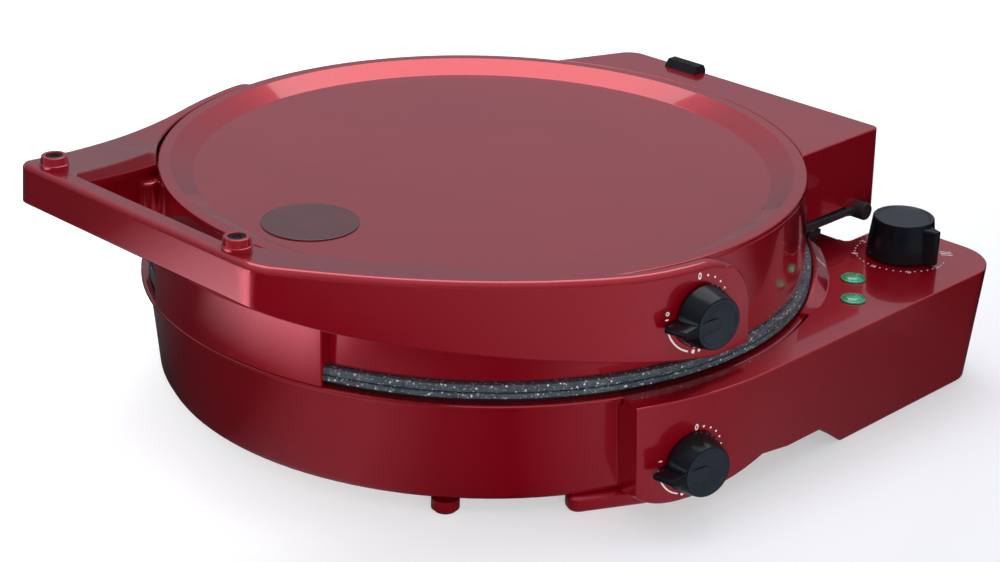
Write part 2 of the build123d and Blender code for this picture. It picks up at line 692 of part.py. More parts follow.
def make_reflector(back, side):
    """The thin heat reflector on the bosses."""
    near = back + side * BOSS_HEIGHT
    sheet = disc(REFLECTOR_RADIUS, *sorted((near, near + side * REFLECTOR_THICKNESS)))
    for angle in bolt_angles():
        x, y, _ = polar(BOLT_CIRCLE, angle)
        sheet -= disc(BOLT_RADIUS + FIT, 0, FAR, x, y)
    for angle in terminal_angles():
        x, y, _ = polar(ELEMENT_RING_RADIUS, angle)
        sheet -= disc(TERMINAL_RADIUS + 2.0, 0, FAR, x, y)
    return sheet


def terminal_angles():
    """Places of the two ends of a heating element, either side of its open gap at the right."""
    return [ELEMENT_END_GAP / 2, 360 - ELEMENT_END_GAP / 2]


def make_element(back, side):
    """The tubular heating element with its two end terminals."""
    centre = back + side * (ELEMENT_TUBE_RADIUS + FIT)
    circle = Plane.XZ * (Pos(ELEMENT_RING_RADIUS, centre) * Circle(ELEMENT_TUBE_RADIUS))
    ring = revolve(Rot(0, 0, terminal_angles()[0]) * circle, Axis.Z, revolution_arc=360 - ELEMENT_END_GAP)
    for angle in terminal_angles():
        x, y, _ = polar(ELEMENT_RING_RADIUS, angle)
        ring += disc(TERMINAL_RADIUS, *sorted((centre, centre + side * TERMINAL_LENGTH)), x, y)
        ring += Pos(x, y, centre) * Sphere(ELEMENT_TUBE_RADIUS)
    return ring


def make_clamps(back, side):
    """Saddles that press the heating element on the plate."""
    centre = back + side * (ELEMENT_TUBE_RADIUS + FIT)
    height = 2 * ELEMENT_TUBE_RADIUS + FIT + 1.6
    low, high = sorted((back, back + side * height))
    room = ELEMENT_TUBE_RADIUS + FIT
    groove_low, groove_high = sorted((back, centre + side * room))
    groove = revolved([
        (ELEMENT_RING_RADIUS - room, groove_low),
        (ELEMENT_RING_RADIUS + room, groove_low),
        (ELEMENT_RING_RADIUS + room, groove_high),
        (ELEMENT_RING_RADIUS - room, groove_high),
    ])
    saddles = []
    for index in range(CLAMP_COUNT):
        angle = 45 + 360 / CLAMP_COUNT * index
        half = 3 * ELEMENT_TUBE_RADIUS
        block = slab((ELEMENT_RING_RADIUS - half, ELEMENT_RING_RADIUS + half), (-4.0, 4.0), (low, high))
        saddles.append(Rot(0, 0, angle) * block - groove)
    return group(saddles)


# Hinge

def box_side_x(y, z, side):
    """Outer x of the hinge box's right (side 1) or left (side -1) wall."""
    spread = (LID_TOP - z) * BOX_SLOPE
    if side > 0:
        return BOX_RIGHT + spread
    slant = (BOX_REAR_LEFT - BOX_FRONT_LEFT) / (BOX_REAR - BOX_FRONT_LEFT_Y)
    return BOX_FRONT_LEFT + slant * (y - BOX_FRONT_LEFT_Y) - spread * math.hypot(1, slant)


def make_hinge_arm(side):
    """The black arm of the lid with its hub, right (side 1) or left (side -1)."""
    reach = box_side_x(HINGE_Y, BOX_BOTTOM, 1) + HINGE_ARM_PROUD
    outer = reach if side > 0 else EAR_X - EAR_WIDTH / 2 - FIT
    left_wall = -box_side_x(HINGE_Y, HINGE_Z, -1)
    inner_x = BOX_RIGHT - 2 * HINGE_ARM_WIDTH if side > 0 else left_wall - 2 * WALL
    hub_inner = EAR_X + EAR_WIDTH / 2 + FIT if side > 0 else inner_x - 2 * WALL
    hub_outer = reach + HINGE_HUB_PROUD if side > 0 else outer
    hub = Pos((hub_inner + hub_outer) / 2, HINGE_Y, HINGE_Z) * Rot(0, 90, 0) * Cylinder(
        HINGE_HUB_RADIUS, hub_outer - hub_inner
    )
    rail_top = BOX_BOTTOM - FIT
    rail_front = math.sqrt(lid_wall_radius(HINGE_Z) ** 2 - reach ** 2) + 1.5
    if side > 0:
        rail = slab((inner_x, reach), (rail_front, HINGE_Y), (rail_top - HINGE_ARM_WIDTH, rail_top))
        rail_bottom = rail_top - HINGE_ARM_WIDTH
        gusset_front = HINGE_Y - 3 * HINGE_HUB_RADIUS / 2
        hub_bottom = HINGE_Z - HINGE_HUB_RADIUS
        gusset_edges = [
            Line((gusset_front, rail_bottom), (HINGE_Y, rail_bottom)),
            Line((HINGE_Y, rail_bottom), (HINGE_Y, hub_bottom)),
            Line((HINGE_Y, hub_bottom), (gusset_front, rail_bottom)),
        ]
        gusset = side_prism(gusset_edges, (reach - 2 * HINGE_ARM_WIDTH, reach))
        lip_x = BOX_RIGHT - WALL - FIT
        lip = slab((inner_x, lip_x), (rail_front + 12, HINGE_Y - HINGE_HUB_RADIUS),
                   (rail_top - 1, BOX_BOTTOM + 10))
        arm = hub + outside_of_cup(rail + gusset + lip, FIT)
    else:
        lip = slab((inner_x - 4 * WALL, left_wall - 3 * WALL),
                   (HINGE_Y - HINGE_HUB_RADIUS, HINGE_Y + HINGE_HUB_RADIUS), (HINGE_Z, BOX_BOTTOM + 5.5))
        arm = hub + lip
    arm -= Pos(0, HINGE_Y, HINGE_Z) * Rot(0, 90, 0) * Cylinder(HINGE_PIN_RADIUS + SHAFT_FIT, 2 * FAR)
    if side < 0:
        arm = arm.mirror(Plane.YZ)
    return arm


def make_hinge_bracket(side):
    """The base's hinge ear: a foot on the deck, a leg and an arm that reaches over to the pin."""
    x_range = (side * EAR_X - EAR_WIDTH / 2, side * EAR_X + EAR_WIDTH / 2)
    top = HINGE_Z + HINGE_HUB_RADIUS - 3.5
    leg = slab(x_range, EAR_LEG_Y, (DECK_TOP, top))
    arm = slab(x_range, (EAR_LEG_Y[0], HINGE_Y), (EAR_ARM_Z, top))
    hub = Pos(side * EAR_X, HINGE_Y, HINGE_Z) * Rot(0, 90, 0) * Cylinder(HINGE_HUB_RADIUS - FIT, EAR_WIDTH)
    foot_y = (EAR_LEG_Y[0] - 2.5, EAR_LEG_Y[1] + 0.5)
    foot = slab((x_range[0] - 6, x_range[1] + 6), foot_y, (DECK_TOP, DECK_TOP + 3))
    ear = leg + arm + hub + foot
    ear -= Pos(0, HINGE_Y, HINGE_Z) * Rot(0, 90, 0) * Cylinder(HINGE_PIN_RADIUS + SHAFT_FIT, 2 * FAR)
    for screw_x in (x_range[0] - 3, x_range[1] + 3):
        ear -= disc(COVER_SCREW_RADIUS + SHAFT_FIT, DECK_TOP - 1, DECK_TOP + 10, screw_x, sum(foot_y) / 2)
    return ear


def bracket_screw_places():
    """Screws through the feet of both hinge ears."""
    middle = (EAR_LEG_Y[0] - 2.5 + EAR_LEG_Y[1] + 0.5) / 2
    places = []
    for side in (-1, 1):
        places.append((side * EAR_X - EAR_WIDTH / 2 - 3, middle))
        places.append((side * EAR_X + EAR_WIDTH / 2 + 3, middle))
    return places


def make_hinge_pins():
    """Two steel pins, one for each ear."""
    reach = box_side_x(HINGE_Y, BOX_BOTTOM, 1) + HINGE_ARM_PROUD + HINGE_HUB_PROUD
    inner = EAR_X - EAR_WIDTH / 2
    right = Pos((inner + reach - 1) / 2, HINGE_Y, HINGE_Z) * Rot(0, 90, 0) * Cylinder(
        HINGE_PIN_RADIUS, reach - 1 - inner
    )
    wall_x = -box_side_x(HINGE_Y, HINGE_Z, -1) - WALL
    outer = EAR_X + EAR_WIDTH / 2
    left = Pos(-(wall_x + outer) / 2, HINGE_Y, HINGE_Z) * Rot(0, 90, 0) * Cylinder(
        HINGE_PIN_RADIUS, outer - wall_x
    )
    return group([left, right])


def make_box_cover():
    """The plate that closes the hinge box above the hinge."""
    low = HINGE_Z + HINGE_HUB_RADIUS + 2.0
    plan = drafted(lambda d: outline_face(inset_corners(box_corners(), d + WALL + FIT)),
                   HINGE_Z, LID_TOP, LID_TOP, BOX_SLOPE)
    sheet = outside_of_cup(plan & slab((-FAR, FAR), (0, FAR), (low, low + 2.0)), FIT)
    lip_zone = slab((BOX_RIGHT - 2 * HINGE_ARM_WIDTH - FIT, FAR), (0, HINGE_Y - HINGE_HUB_RADIUS + FIT),
                    (0, BOX_BOTTOM + 10 + FIT))
    return sheet - lip_zone


def make_cable_clamp():
    """The black clamp on the rear wall of the hinge box, hooked over its upper edge."""
    wall_y = BOX_REAR + CABLE_CLAMP_HEIGHT * BOX_SLOPE + FIT / 2
    low = LID_TOP - CABLE_CLAMP_HEIGHT
    rear = wall_y + CABLE_CLAMP_DEPTH
    crown = LID_TOP + CABLE_CLAMP_RISE
    edges = [
        Line((wall_y, low), (rear - 1, low)),
        Line((rear - 1, low), (rear, low + 2)),
        Line((rear, low + 2), (rear, crown - 3)),
        Line((rear, crown - 3), (rear - 2, crown)),
        Line((rear - 2, crown), (wall_y - 6, crown)),
        Line((wall_y - 6, crown), (wall_y - 9, LID_TOP + FIT / 2)),
        Line((wall_y - 9, LID_TOP + FIT / 2), (wall_y, LID_TOP + FIT / 2)),
        Line((wall_y, LID_TOP + FIT / 2), (wall_y, low)),
    ]
    half = CABLE_CLAMP_WIDTH / 2
    return side_prism(edges, (CABLE_CLAMP_X - half, CABLE_CLAMP_X + half))


# Base solids

def bowl_outer():
    """The bowl with its rolled rim, as a solid cut flat at the rear."""
    lip = BASE_RIM_TOP - BASE_RIM_HEIGHT
    points = [
        (0, BASE_BOTTOM),
        (BASE_WALL_FOOT_RADIUS - BASE_FOOT_ROUND, BASE_BOTTOM),
        (BASE_WALL_FOOT_RADIUS - BASE_FOOT_ROUND / 4, BASE_BOTTOM + BASE_FOOT_ROUND / 3),
        (base_wall_radius(BASE_BOTTOM + BASE_FOOT_ROUND), BASE_BOTTOM + BASE_FOOT_ROUND),
        (BASE_WALL_TOP_RADIUS, lip - 1.0),
        (BASE_WALL_TOP_RADIUS + 1.0, lip),
        (BASE_RIM_RADIUS - 0.6, lip),
        (BASE_RIM_RADIUS, lip + 0.8),
        (BASE_RIM_RADIUS, BASE_RIM_TOP - 0.8),
        (BASE_RIM_RADIUS - 0.8, BASE_RIM_TOP),
        (0, BASE_RIM_TOP),
    ]
    return revolved(points) - slab((-FAR, FAR), (BASE_REAR_Y, FAR), (-1, FAR))


def bowl_inner():
    """The space inside the bowl, under its ledge and over its bottom flange."""
    under = BASE_RIM_TOP - WALL
    floor = BASE_BOTTOM + WALL
    points = [
        (0, floor),
        (BASE_WALL_FOOT_RADIUS - BASE_FOOT_ROUND - WALL, floor),
        (base_wall_radius(BASE_BOTTOM + BASE_FOOT_ROUND) - WALL, BASE_BOTTOM + BASE_FOOT_ROUND + 1),
        (BASE_WALL_TOP_RADIUS - WALL, under),
        (BASE_LEDGE_RADIUS, under),
        (BASE_LEDGE_RADIUS, DECK_TOP + 5),
        (0, DECK_TOP + 5),
    ]
    space = revolved(points) + disc(BASE_FLANGE_RADIUS, BASE_BOTTOM - 1, floor + 1)
    space -= slab((-FAR, FAR), (BASE_REAR_Y - WALL, FAR), (-1, FAR))
    return space


def arm_corners():
    """Plan of the control arm at the deck."""
    edge = polar(ARM_RIGHT / 2, -PANEL_ANGLE)
    corner_y = -ARM_RIGHT * math.tan(math.radians(PANEL_ANGLE))
    return [
        (edge[0], edge[1], 0.0),
        (ARM_RIGHT, corner_y, 0.0),
        (ARM_RIGHT, ARM_REAR, ARM_REAR_CORNER),
        (ARM_INNER, ARM_REAR, ARM_SMALL_CORNER),
        (ARM_INNER, BASE_REAR_Y, ARM_SMALL_CORNER),
        (edge[0], BASE_REAR_Y, 0.0),
    ]


def wing_corners():
    """Plan of the rear deck at the left."""
    return [
        (REAR_DECK_LEFT, REAR_DECK_FRONT_Y / 2, 0.0),
        (REAR_DECK_LEFT / 2, REAR_DECK_FRONT_Y / 2, 0.0),
        (REAR_DECK_LEFT / 2, BASE_REAR_Y, 0.0),
        (REAR_DECK_LEFT, BASE_REAR_Y, ARM_SMALL_CORNER),
    ]


def panel_cut(inset):
    """What the round knob panel takes off the front of the control arm."""
    cone = revolved([
        (0, -20),
        (panel_radius(-20) - inset, -20),
        (panel_radius(FAR / 3) - inset, FAR / 3),
        (0, FAR / 3),
    ])
    return slab((0, FAR), (-FAR, 0), (-19, FAR / 3 - 1)) - cone


def arm_side(lift, foot_open):
    """Side outline of the control arm: the knob panel's lobe, the raised belly and the rear foot."""
    front = -ARM_RIGHT * math.tan(math.radians(PANEL_ANGLE)) - 5
    edge_y = -ARM_RIGHT * math.sin(math.radians(PANEL_ANGLE)) + lift
    foot = -10.0 if foot_open else 0.0
    top = DECK_TOP - lift
    start = ARM_FOOT_START_Y + lift
    edges = [
        Line((front, top), (front, PANEL_EDGE_BOTTOM + lift)),
        Line((front, PANEL_EDGE_BOTTOM + lift), (edge_y, PANEL_EDGE_BOTTOM + lift)),
        Bezier(
            (edge_y, PANEL_EDGE_BOTTOM + lift),
            (edge_y + 4, PANEL_LOBE_BOTTOM + lift),
            (PANEL_LOBE_Y, PANEL_LOBE_BOTTOM + lift),
        ),
        Bezier(
            (PANEL_LOBE_Y, PANEL_LOBE_BOTTOM + lift),
            (PANEL_WAIST_Y / 2 + PANEL_LOBE_Y / 2, PANEL_LOBE_BOTTOM + lift),
            (PANEL_WAIST_Y, PANEL_WAIST_Z + lift),
        ),
        Line((PANEL_WAIST_Y, PANEL_WAIST_Z + lift), (ARM_BELLY_END_Y / 2, ARM_BELLY_Z + lift)),
        Line((ARM_BELLY_END_Y / 2, ARM_BELLY_Z + lift), (ARM_BELLY_END_Y + lift, ARM_BELLY_Z + lift)),
        Line((ARM_BELLY_END_Y + lift, ARM_BELLY_Z + lift), (start, foot)),
        Line((start, foot), (FAR, foot)),
        Line((FAR, foot), (FAR, top)),
        Line((FAR, top), (front, top)),
    ]
    return edges


def arm_solid(inset, foot_open):
    """The control arm, drafted inwards to its foot, smaller by an inset."""
    plan = drafted(lambda d: outline_face(inset_corners(arm_corners(), d + inset)),
                   -12.0, DECK_TOP + 4, DECK_TOP, -ARM_SLOPE)
    under_bowl = disc(BASE_WALL_FOOT_RADIUS - WALL + inset, -20, BASE_BOTTOM if inset == 0 else DECK_TOP)
    return (plan & side_prism(arm_side(inset, foot_open))) - panel_cut(inset) - under_bowl


def make_base_shell():
    """Bowl, rear deck and control arm as one hollow moulding."""
    bowl = bowl_outer()
    seam = revolved([
        (0, BASE_RIM_TOP - BASE_RIM_HEIGHT - 1),
        (ARM_SEAM_RADIUS, BASE_RIM_TOP - BASE_RIM_HEIGHT - 1),
        (ARM_SEAM_RADIUS, DECK_TOP + 1),
        (0, DECK_TOP + 1),
    ]) & slab((-FAR, FAR), (-FAR, REAR_DECK_FRONT_Y), (0, FAR))
    arm_outer = arm_solid(0.0, False)
    arm_inner = arm_solid(WALL, True)
    wing = drafted(lambda d: outline_face(inset_corners(wing_corners(), d)),
                   REAR_WING_BOTTOM, DECK_TOP, DECK_TOP, -4 * ARM_SLOPE)
    wing_space = drafted(lambda d: outline_face(inset_corners(wing_corners(), d + WALL)),
                         REAR_WING_BOTTOM - 1, DECK_TOP - WALL, DECK_TOP, -4 * ARM_SLOPE)
    deck = slab((REAR_DECK_LEFT / 2 - 4 * WALL, ARM_INNER), (REAR_DECK_FRONT_Y, BASE_REAR_Y),
                (DECK_TOP - WALL, DECK_TOP))
    solid_bowl = bowl_outer()
    shell = bowl + (arm_outer - seam) + (wing - seam)
    shell -= bowl_inner() - slab((-FAR, FAR), (REAR_DECK_FRONT_Y, FAR), (DECK_TOP - WALL, FAR))
    shell += deck
    shell -= arm_inner - solid_bowl
    shell -= wing_space - solid_bowl
    shell = cut_base_holes(shell)
    return shell


def cut_base_holes(shell):
    """Holes for the shafts, lamps, inlet and bracket screws."""
    knob_plane = facing_out(0, LOWER_KNOB_ANGLE, LOWER_KNOB_Z)
    shell -= knob_plane * Pos(0, 0, panel_radius(LOWER_KNOB_Z)) * Cylinder(KNOB_SHAFT_RADIUS + FIT, 5 * WALL)
    shell -= disc(KNOB_SHAFT_RADIUS + FIT, DECK_TOP - 2 * WALL, DECK_TOP + 5, TIMER_X, TIMER_Y)
    for x, y in LAMP_PLACES:
        shell -= disc(LAMP_STEM_RADIUS + SHAFT_FIT, DECK_TOP - 2 * WALL, DECK_TOP + 5, x, y)
    shell -= Pos(INLET_X, ARM_REAR, INLET_Z) * Rot(90, 0, 0) * Cylinder(INLET_RADIUS + SHAFT_FIT, 30)
    for x, y in bracket_screw_places():
        shell -= disc(COVER_SCREW_RADIUS + SHAFT_FIT, DECK_TOP - 2 * WALL, DECK_TOP + 5, x, y)
    for x, y in cover_screw_places():
        shell -= disc(COVER_SCREW_RADIUS + SHAFT_FIT, BASE_BOTTOM - 1, BASE_BOTTOM + WALL + 1, x, y)
    return shell


def cover_screw_places():
    """Places of the screws around the bottom cover."""
    radius = BASE_FLANGE_RADIUS + 5.0
    places = []
    for index in range(COVER_SCREW_COUNT):
        x, y, _ = polar(radius, 360 / COVER_SCREW_COUNT * (index + 0.25))
        places.append((x, y))
    return places


def make_base_cover():
    """The round bottom cover, lapped over the flange inside the bowl."""
    floor = BASE_BOTTOM + WALL
    lap = floor + FIT / 3
    reach = BASE_FLANGE_RADIUS + 10.0
    cover = disc(BASE_FLANGE_RADIUS - FIT, BASE_BOTTOM, floor + 2) + disc(reach, lap, floor + 2)
    cover -= slab((-FAR, FAR), (BASE_REAR_Y - WALL - FIT, FAR), (0, FAR))
    for x, y in cover_screw_places():
        cover -= disc(COVER_SCREW_RADIUS + SHAFT_FIT, 0, floor + 5, x, y)
    return cover


def make_cover_screws():
    """Screws of the bottom cover and of the hinge ears."""
    screws = []
    floor = BASE_BOTTOM + WALL
    for x, y in cover_screw_places():
        screw = disc(COVER_SCREW_RADIUS, BASE_BOTTOM - 0.5, floor + 5, x, y)
        screw += disc(COVER_SCREW_HEAD, BASE_BOTTOM - 2.2, BASE_BOTTOM, x, y)
        screws.append(screw)
    for x, y in bracket_screw_places():
        head = min(COVER_SCREW_HEAD, 2.6)
        screw = disc(COVER_SCREW_RADIUS, DECK_TOP - 2 * WALL + FIT, DECK_TOP + 3.5, x, y)
        screw += disc(head, DECK_TOP + 3, DECK_TOP + 5, x, y)
        screws.append(screw)
    return group(screws)


def make_arm_cover():
    """The flat cover under the rear foot of the control arm."""
    plan = drafted(lambda d: outline_face(inset_corners(arm_corners(), d + WALL + FIT)),
                   -12.0, DECK_TOP, DECK_TOP, -ARM_SLOPE)
    zone = slab((-FAR, FAR), (ARM_FOOT_START_Y + 2 * WALL + FIT, FAR),
                (ARM_COVER_RECESS, ARM_COVER_RECESS + ARM_COVER_THICKNESS))
    keep_out = disc(base_wall_radius(BASE_BOTTOM + 5) + FIT, -20, FAR / 2)
    return (plan & zone) - keep_out


# Knobs

def nose_outline(radius, reach, width):
    """Plan of a pointer nose that runs out from the rim of a knob."""
    return make_face(Polyline((radius / 2, -width), (radius, -width / 2 - 0.8), (reach, -width / 4),
                              (reach, width / 4), (radius, width / 2 + 0.8), (radius / 2, width), close=True))


def make_knob(base_radius, top_radius, height, reach, width):
    """A tapered knob on the z axis with its nose towards x and a bore for its shaft."""
    body = loft([Circle(base_radius), Pos(0, 0, height) * Circle(top_radius)], ruled=True)
    edge = body.edges().filter_by(GeomType.CIRCLE).sort_by(Axis.Z)[-1]
    body = chamfer(edge, 1.0)
    nose_low = nose_outline(base_radius, reach, width)
    nose_high = Pos(0, 0, height - 0.6) * nose_outline(top_radius, reach - (base_radius - top_radius), width)
    knob = body + loft([nose_low, nose_high], ruled=True)
    shaft_depth = min(KNOB_SHAFT_DEPTH, height - 3.0)
    return knob - disc(KNOB_SHAFT_RADIUS + SHAFT_FIT, -1, shaft_depth)


def make_shaft(length, knob_gap, height):
    """A round shaft on the z axis that ends inside its knob."""
    depth = min(KNOB_SHAFT_DEPTH, height - 3.0)
    return disc(KNOB_SHAFT_RADIUS, -length, depth - knob_gap)


def make_thermostat(deep):
    """A thermostat behind a knob panel: body, neck and mounting ears, with its bore on the z axis."""
    half = THERMOSTAT_WIDTH / 2
    body = slab((-THERMOSTAT_HEIGHT / 2, THERMOSTAT_HEIGHT / 2), (-half, half),
                (-THERMOSTAT_DEPTH - deep, -deep))
    neck = disc(THERMOSTAT_NECK_RADIUS, -deep - 1, -deep + 1.2)
    tabs = slab((-2.0, 2.0), (-half - 3, half + 3), (-deep - 3, -deep))
    return body + neck + tabs - disc(KNOB_SHAFT_RADIUS + SHAFT_FIT, -deep - 8, 5)


def knob_place(radius, angle, z):
    """Where the back of a knob stands, PANEL_GAP off the nearest place of its panel."""
    return facing_out(radius + PANEL_GAP, angle, z)


LOWER_PANEL = panel_radius(LOWER_KNOB_Z + KNOB_BASE_RADIUS)
UPPER_PANEL = band_radius(UPPER_KNOB_Z - KNOB_BASE_RADIUS)
LOWER_PLACE = knob_place(LOWER_PANEL, LOWER_KNOB_ANGLE, LOWER_KNOB_Z)
UPPER_PLACE = knob_place(UPPER_PANEL, UPPER_KNOB_ANGLE, UPPER_KNOB_Z)
LOWER_PANEL_FOOT = panel_radius(LOWER_KNOB_Z - THERMOSTAT_HEIGHT / 2)
LOWER_THERMOSTAT_DEEP = LOWER_PANEL + PANEL_GAP - LOWER_PANEL_FOOT + WALL + 1.6
UPPER_THERMOSTAT_DEEP = UPPER_PANEL + PANEL_GAP - (lid_wall_radius(UPPER_KNOB_Z) - WALL) + 3.2
TIMER_PLACE = Plane(origin=(TIMER_X, TIMER_Y, DECK_TOP + TIMER_KNOB_GAP))
TIMER_DEEP = TIMER_KNOB_GAP + WALL + 0.3


def make_thermostat_knob(place):
    """One thermostat knob, turned to its rest mark."""
    knob = make_knob(KNOB_BASE_RADIUS, KNOB_FACE_RADIUS, KNOB_LENGTH, KNOB_NOSE_REACH, KNOB_NOSE_WIDTH)
    return place * Rot(0, 0, -KNOB_POINTER_CLOCK) * knob


def make_timer():
    """The clockwork timer under the deck, with its bell and its bore."""
    half = TIMER_BODY_WIDTH / 2
    body = slab((-half, half), (-half, half), (-TIMER_DEEP - TIMER_BODY_HEIGHT, -TIMER_DEEP))
    bell = disc(TIMER_BELL_RADIUS, -TIMER_DEEP - TIMER_BODY_HEIGHT - TIMER_BELL_HEIGHT,
                -TIMER_DEEP - TIMER_BODY_HEIGHT)
    bore = disc(KNOB_SHAFT_RADIUS + SHAFT_FIT, -TIMER_DEEP - 12, 5)
    return TIMER_PLACE * (body + bell - bore)


def make_lamps():
    """Green lenses and the holders that carry them under the deck."""
    lenses = []
    holders = []
    for x, y in LAMP_PLACES:
        dome_radius = (LAMP_RADIUS ** 2 + LAMP_DOME ** 2) / (2 * LAMP_DOME)
        dome = Pos(x, y, DECK_TOP + 0.1 + LAMP_DOME - dome_radius) * Sphere(dome_radius)
        dome &= slab((x - 20, x + 20), (y - 20, y + 20), (DECK_TOP + 0.1, DECK_TOP + 20))
        lens = dome + disc(LAMP_STEM_RADIUS, DECK_TOP - LAMP_STEM_LENGTH, DECK_TOP + 0.5, x, y)
        top = DECK_TOP - WALL - FIT
        holder = disc(LAMP_HOLDER_RADIUS, top - LAMP_HOLDER_LENGTH, top, x, y)
        holder -= disc(LAMP_STEM_RADIUS + SHAFT_FIT, DECK_TOP - LAMP_STEM_LENGTH - 2, DECK_TOP, x, y)
        lenses.append(lens)
        holders.append(holder)
    return lenses, group(holders)


def make_round_feet():
    """Round feet under the bowl and the pads that they stand on."""
    places = [polar(BASE_WALL_FOOT_RADIUS - ROUND_FOOT_INSET, angle) for angle in ROUND_FOOT_ANGLES]
    feet = [disc(ROUND_FOOT_RADIUS, FOOT_PAD_THICKNESS, BASE_BOTTOM, x, y) for x, y, _ in places]
    pads = [disc(ROUND_FOOT_RADIUS - 1.5, 0, FOOT_PAD_THICKNESS, x, y) for x, y, _ in places]
    return group(feet), group(pads)


def make_panel_foot():
    """The foot block under the knob panel."""
    corners = [(*polar(RING_RADIUS + out, angle)[:2], 2.0) for out, angle in PANEL_FOOT_CORNERS]
    return extrude(outline_face(corners), BASE_BOTTOM)


def make_inlet():
    """The bush of the cord inlet in the rear wall of the control arm."""
    face_y = ARM_REAR - (DECK_TOP - INLET_Z) * ARM_SLOPE
    bush = Rot(90, 0, 0) * Cylinder(INLET_RADIUS, INLET_LENGTH)
    bush = Pos(INLET_X, face_y + 4 - INLET_LENGTH / 2, INLET_Z) * bush
    flange = Rot(90, 0, 0) * Cylinder(INLET_FLANGE_RADIUS, 3)
    bush += Pos(INLET_X, face_y + 1.2 + 1.5, INLET_Z) * flange
    return bush - Pos(INLET_X, ARM_REAR, INLET_Z) * Rot(90, 0, 0) * Cylinder(INLET_BORE, 4 * INLET_LENGTH)


def make_terminal_block():
    """The terminal block beside the bowl, inside the control arm."""
    width, length, height = TERMINAL_BLOCK_SIZE
    wall = ARM_RIGHT - (DECK_TOP - ARM_BELLY_Z) * ARM_SLOPE - WALL - FIT - 1
    low = ARM_BELLY_Z + WALL + FIT
    return slab((wall - width, wall), (TERMINAL_BLOCK_Y - length, TERMINAL_BLOCK_Y - 12), (low, low + height))


def make_fuse():
    """The thermal fuse on the back of the lower plate."""
    low = LOWER_PLATE_UNDERSIDE - FUSE_RADIUS - 0.2
    x, y = FUSE_PLACE
    return Pos(x, y, low) * Rot(0, 90, 0) * Cylinder(FUSE_RADIUS, FUSE_LENGTH)


def build():
    """All pieces by name, still about the dish centre."""
    lower_back = LOWER_PLATE_UNDERSIDE
    upper_back = UPPER_PLATE_TOP
    collars, rubbers = make_lid_feet()
    lenses, holders = make_lamps()
    feet, pads = make_round_feet()
    lower_reach = LOWER_THERMOSTAT_DEEP + 7.0
    upper_reach = UPPER_THERMOSTAT_DEEP + 7.0
    timer_reach = TIMER_DEEP + 10.0
    return {
        "lid_shell": make_lid_shell(),
        "front_skirt": make_front_skirt(),
        "handle_cover": make_handle_cover(),
        "lid_foot_collars": collars,
        "lid_foot_rubbers": rubbers,
        "badge_plate": make_badge(),
        "upper_plate": make_plate(UPPER_RIM_BOTTOM, 1),
        "upper_element": make_element(upper_back, 1),
        "upper_element_clamps": make_clamps(upper_back, 1),
        "upper_reflector": make_reflector(upper_back, 1),
        "upper_plate_bolts": make_bolts(upper_back, 1),
        "upper_thermostat": UPPER_PLACE * make_thermostat(UPPER_THERMOSTAT_DEEP),
        "upper_knob_shaft": UPPER_PLACE * make_shaft(upper_reach, 0.5, KNOB_LENGTH),
        "upper_knob": make_thermostat_knob(UPPER_PLACE),
        "hinge_arm_right": make_hinge_arm(1),
        "hinge_arm_left": make_hinge_arm(-1),
        "hinge_box_cover": make_box_cover(),
        "cable_clamp": make_cable_clamp(),
        "base_shell": make_base_shell(),
        "base_cover": make_base_cover(),
        "base_screws": make_cover_screws(),
        "arm_cover": make_arm_cover(),
        "lower_plate": make_plate(LOWER_RIM_TOP, -1),
        "lower_element": make_element(lower_back, -1),
        "lower_element_clamps": make_clamps(lower_back, -1),
        "lower_reflector": make_reflector(lower_back, -1),
        "lower_plate_bolts": make_bolts(lower_back, -1),
        "thermal_fuse": make_fuse(),
        "lower_thermostat": LOWER_PLACE * make_thermostat(LOWER_THERMOSTAT_DEEP),
        "lower_knob_shaft": LOWER_PLACE * make_shaft(lower_reach, 0.5, KNOB_LENGTH),
        "lower_knob": make_thermostat_knob(LOWER_PLACE),
        "timer": make_timer(),
        "timer_shaft": TIMER_PLACE * make_shaft(timer_reach, 0.5, TIMER_KNOB_HEIGHT),
        "timer_knob": TIMER_PLACE * Rot(0, 0, TIMER_NOSE_ANGLE) * make_knob(
            TIMER_KNOB_RADIUS, TIMER_KNOB_TOP_RADIUS, TIMER_KNOB_HEIGHT, TIMER_NOSE_REACH, TIMER_NOSE_WIDTH),
        "lamp_lens_front": lenses[1],
        "lamp_lens_rear": lenses[0],
        "lamp_holders": holders,
        "terminal_block": make_terminal_block(),
        "cord_inlet_bush": make_inlet(),
        "hinge_bracket_right": make_hinge_bracket(1),
        "hinge_bracket_left": make_hinge_bracket(-1),
        "hinge_pins": make_hinge_pins(),
        "round_feet": feet,
        "foot_pads": pads,
        "panel_foot": make_panel_foot(),
    }


def joint_lines(shift):
    """The joint axes after the shift, in metres, to be copied into the record."""
    places = {
        "lid_hinge": ((0, HINGE_Y, HINGE_Z), (-1, 0, 0)),
        "upper_knob_turn": (tuple(UPPER_PLACE.origin), polar(1.0, UPPER_KNOB_ANGLE)),
        "lower_knob_turn": (tuple(LOWER_PLACE.origin), polar(1.0, LOWER_KNOB_ANGLE)),
        "timer_knob_turn": ((TIMER_X, TIMER_Y, DECK_TOP), (0, 0, -1)),
    }
    for name, (place, axis) in places.items():
        spot = [round((value + move) / 1000, 5) for value, move in zip(place, shift)]
        print(name, "at", spot, "about", [round(value, 5) for value in axis])


pieces = build()
whole = group(pieces.values()).bounding_box()
shift = (-(whole.min.X + whole.max.X) / 2, -(whole.min.Y + whole.max.Y) / 2, -whole.min.Z)
for node, piece in pieces.items():
    export_step(Pos(*shift) * piece, f"parts/{node}.step")
print("Overall", [round(value, 2) for value in whole.size], "shift", [round(value, 3) for value in shift])
joint_lines(shift)
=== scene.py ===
"""Dresses the electric pizza maker for its picture: shells, knobs, dial marks, lamps, plates and finishes."""

import json
import math

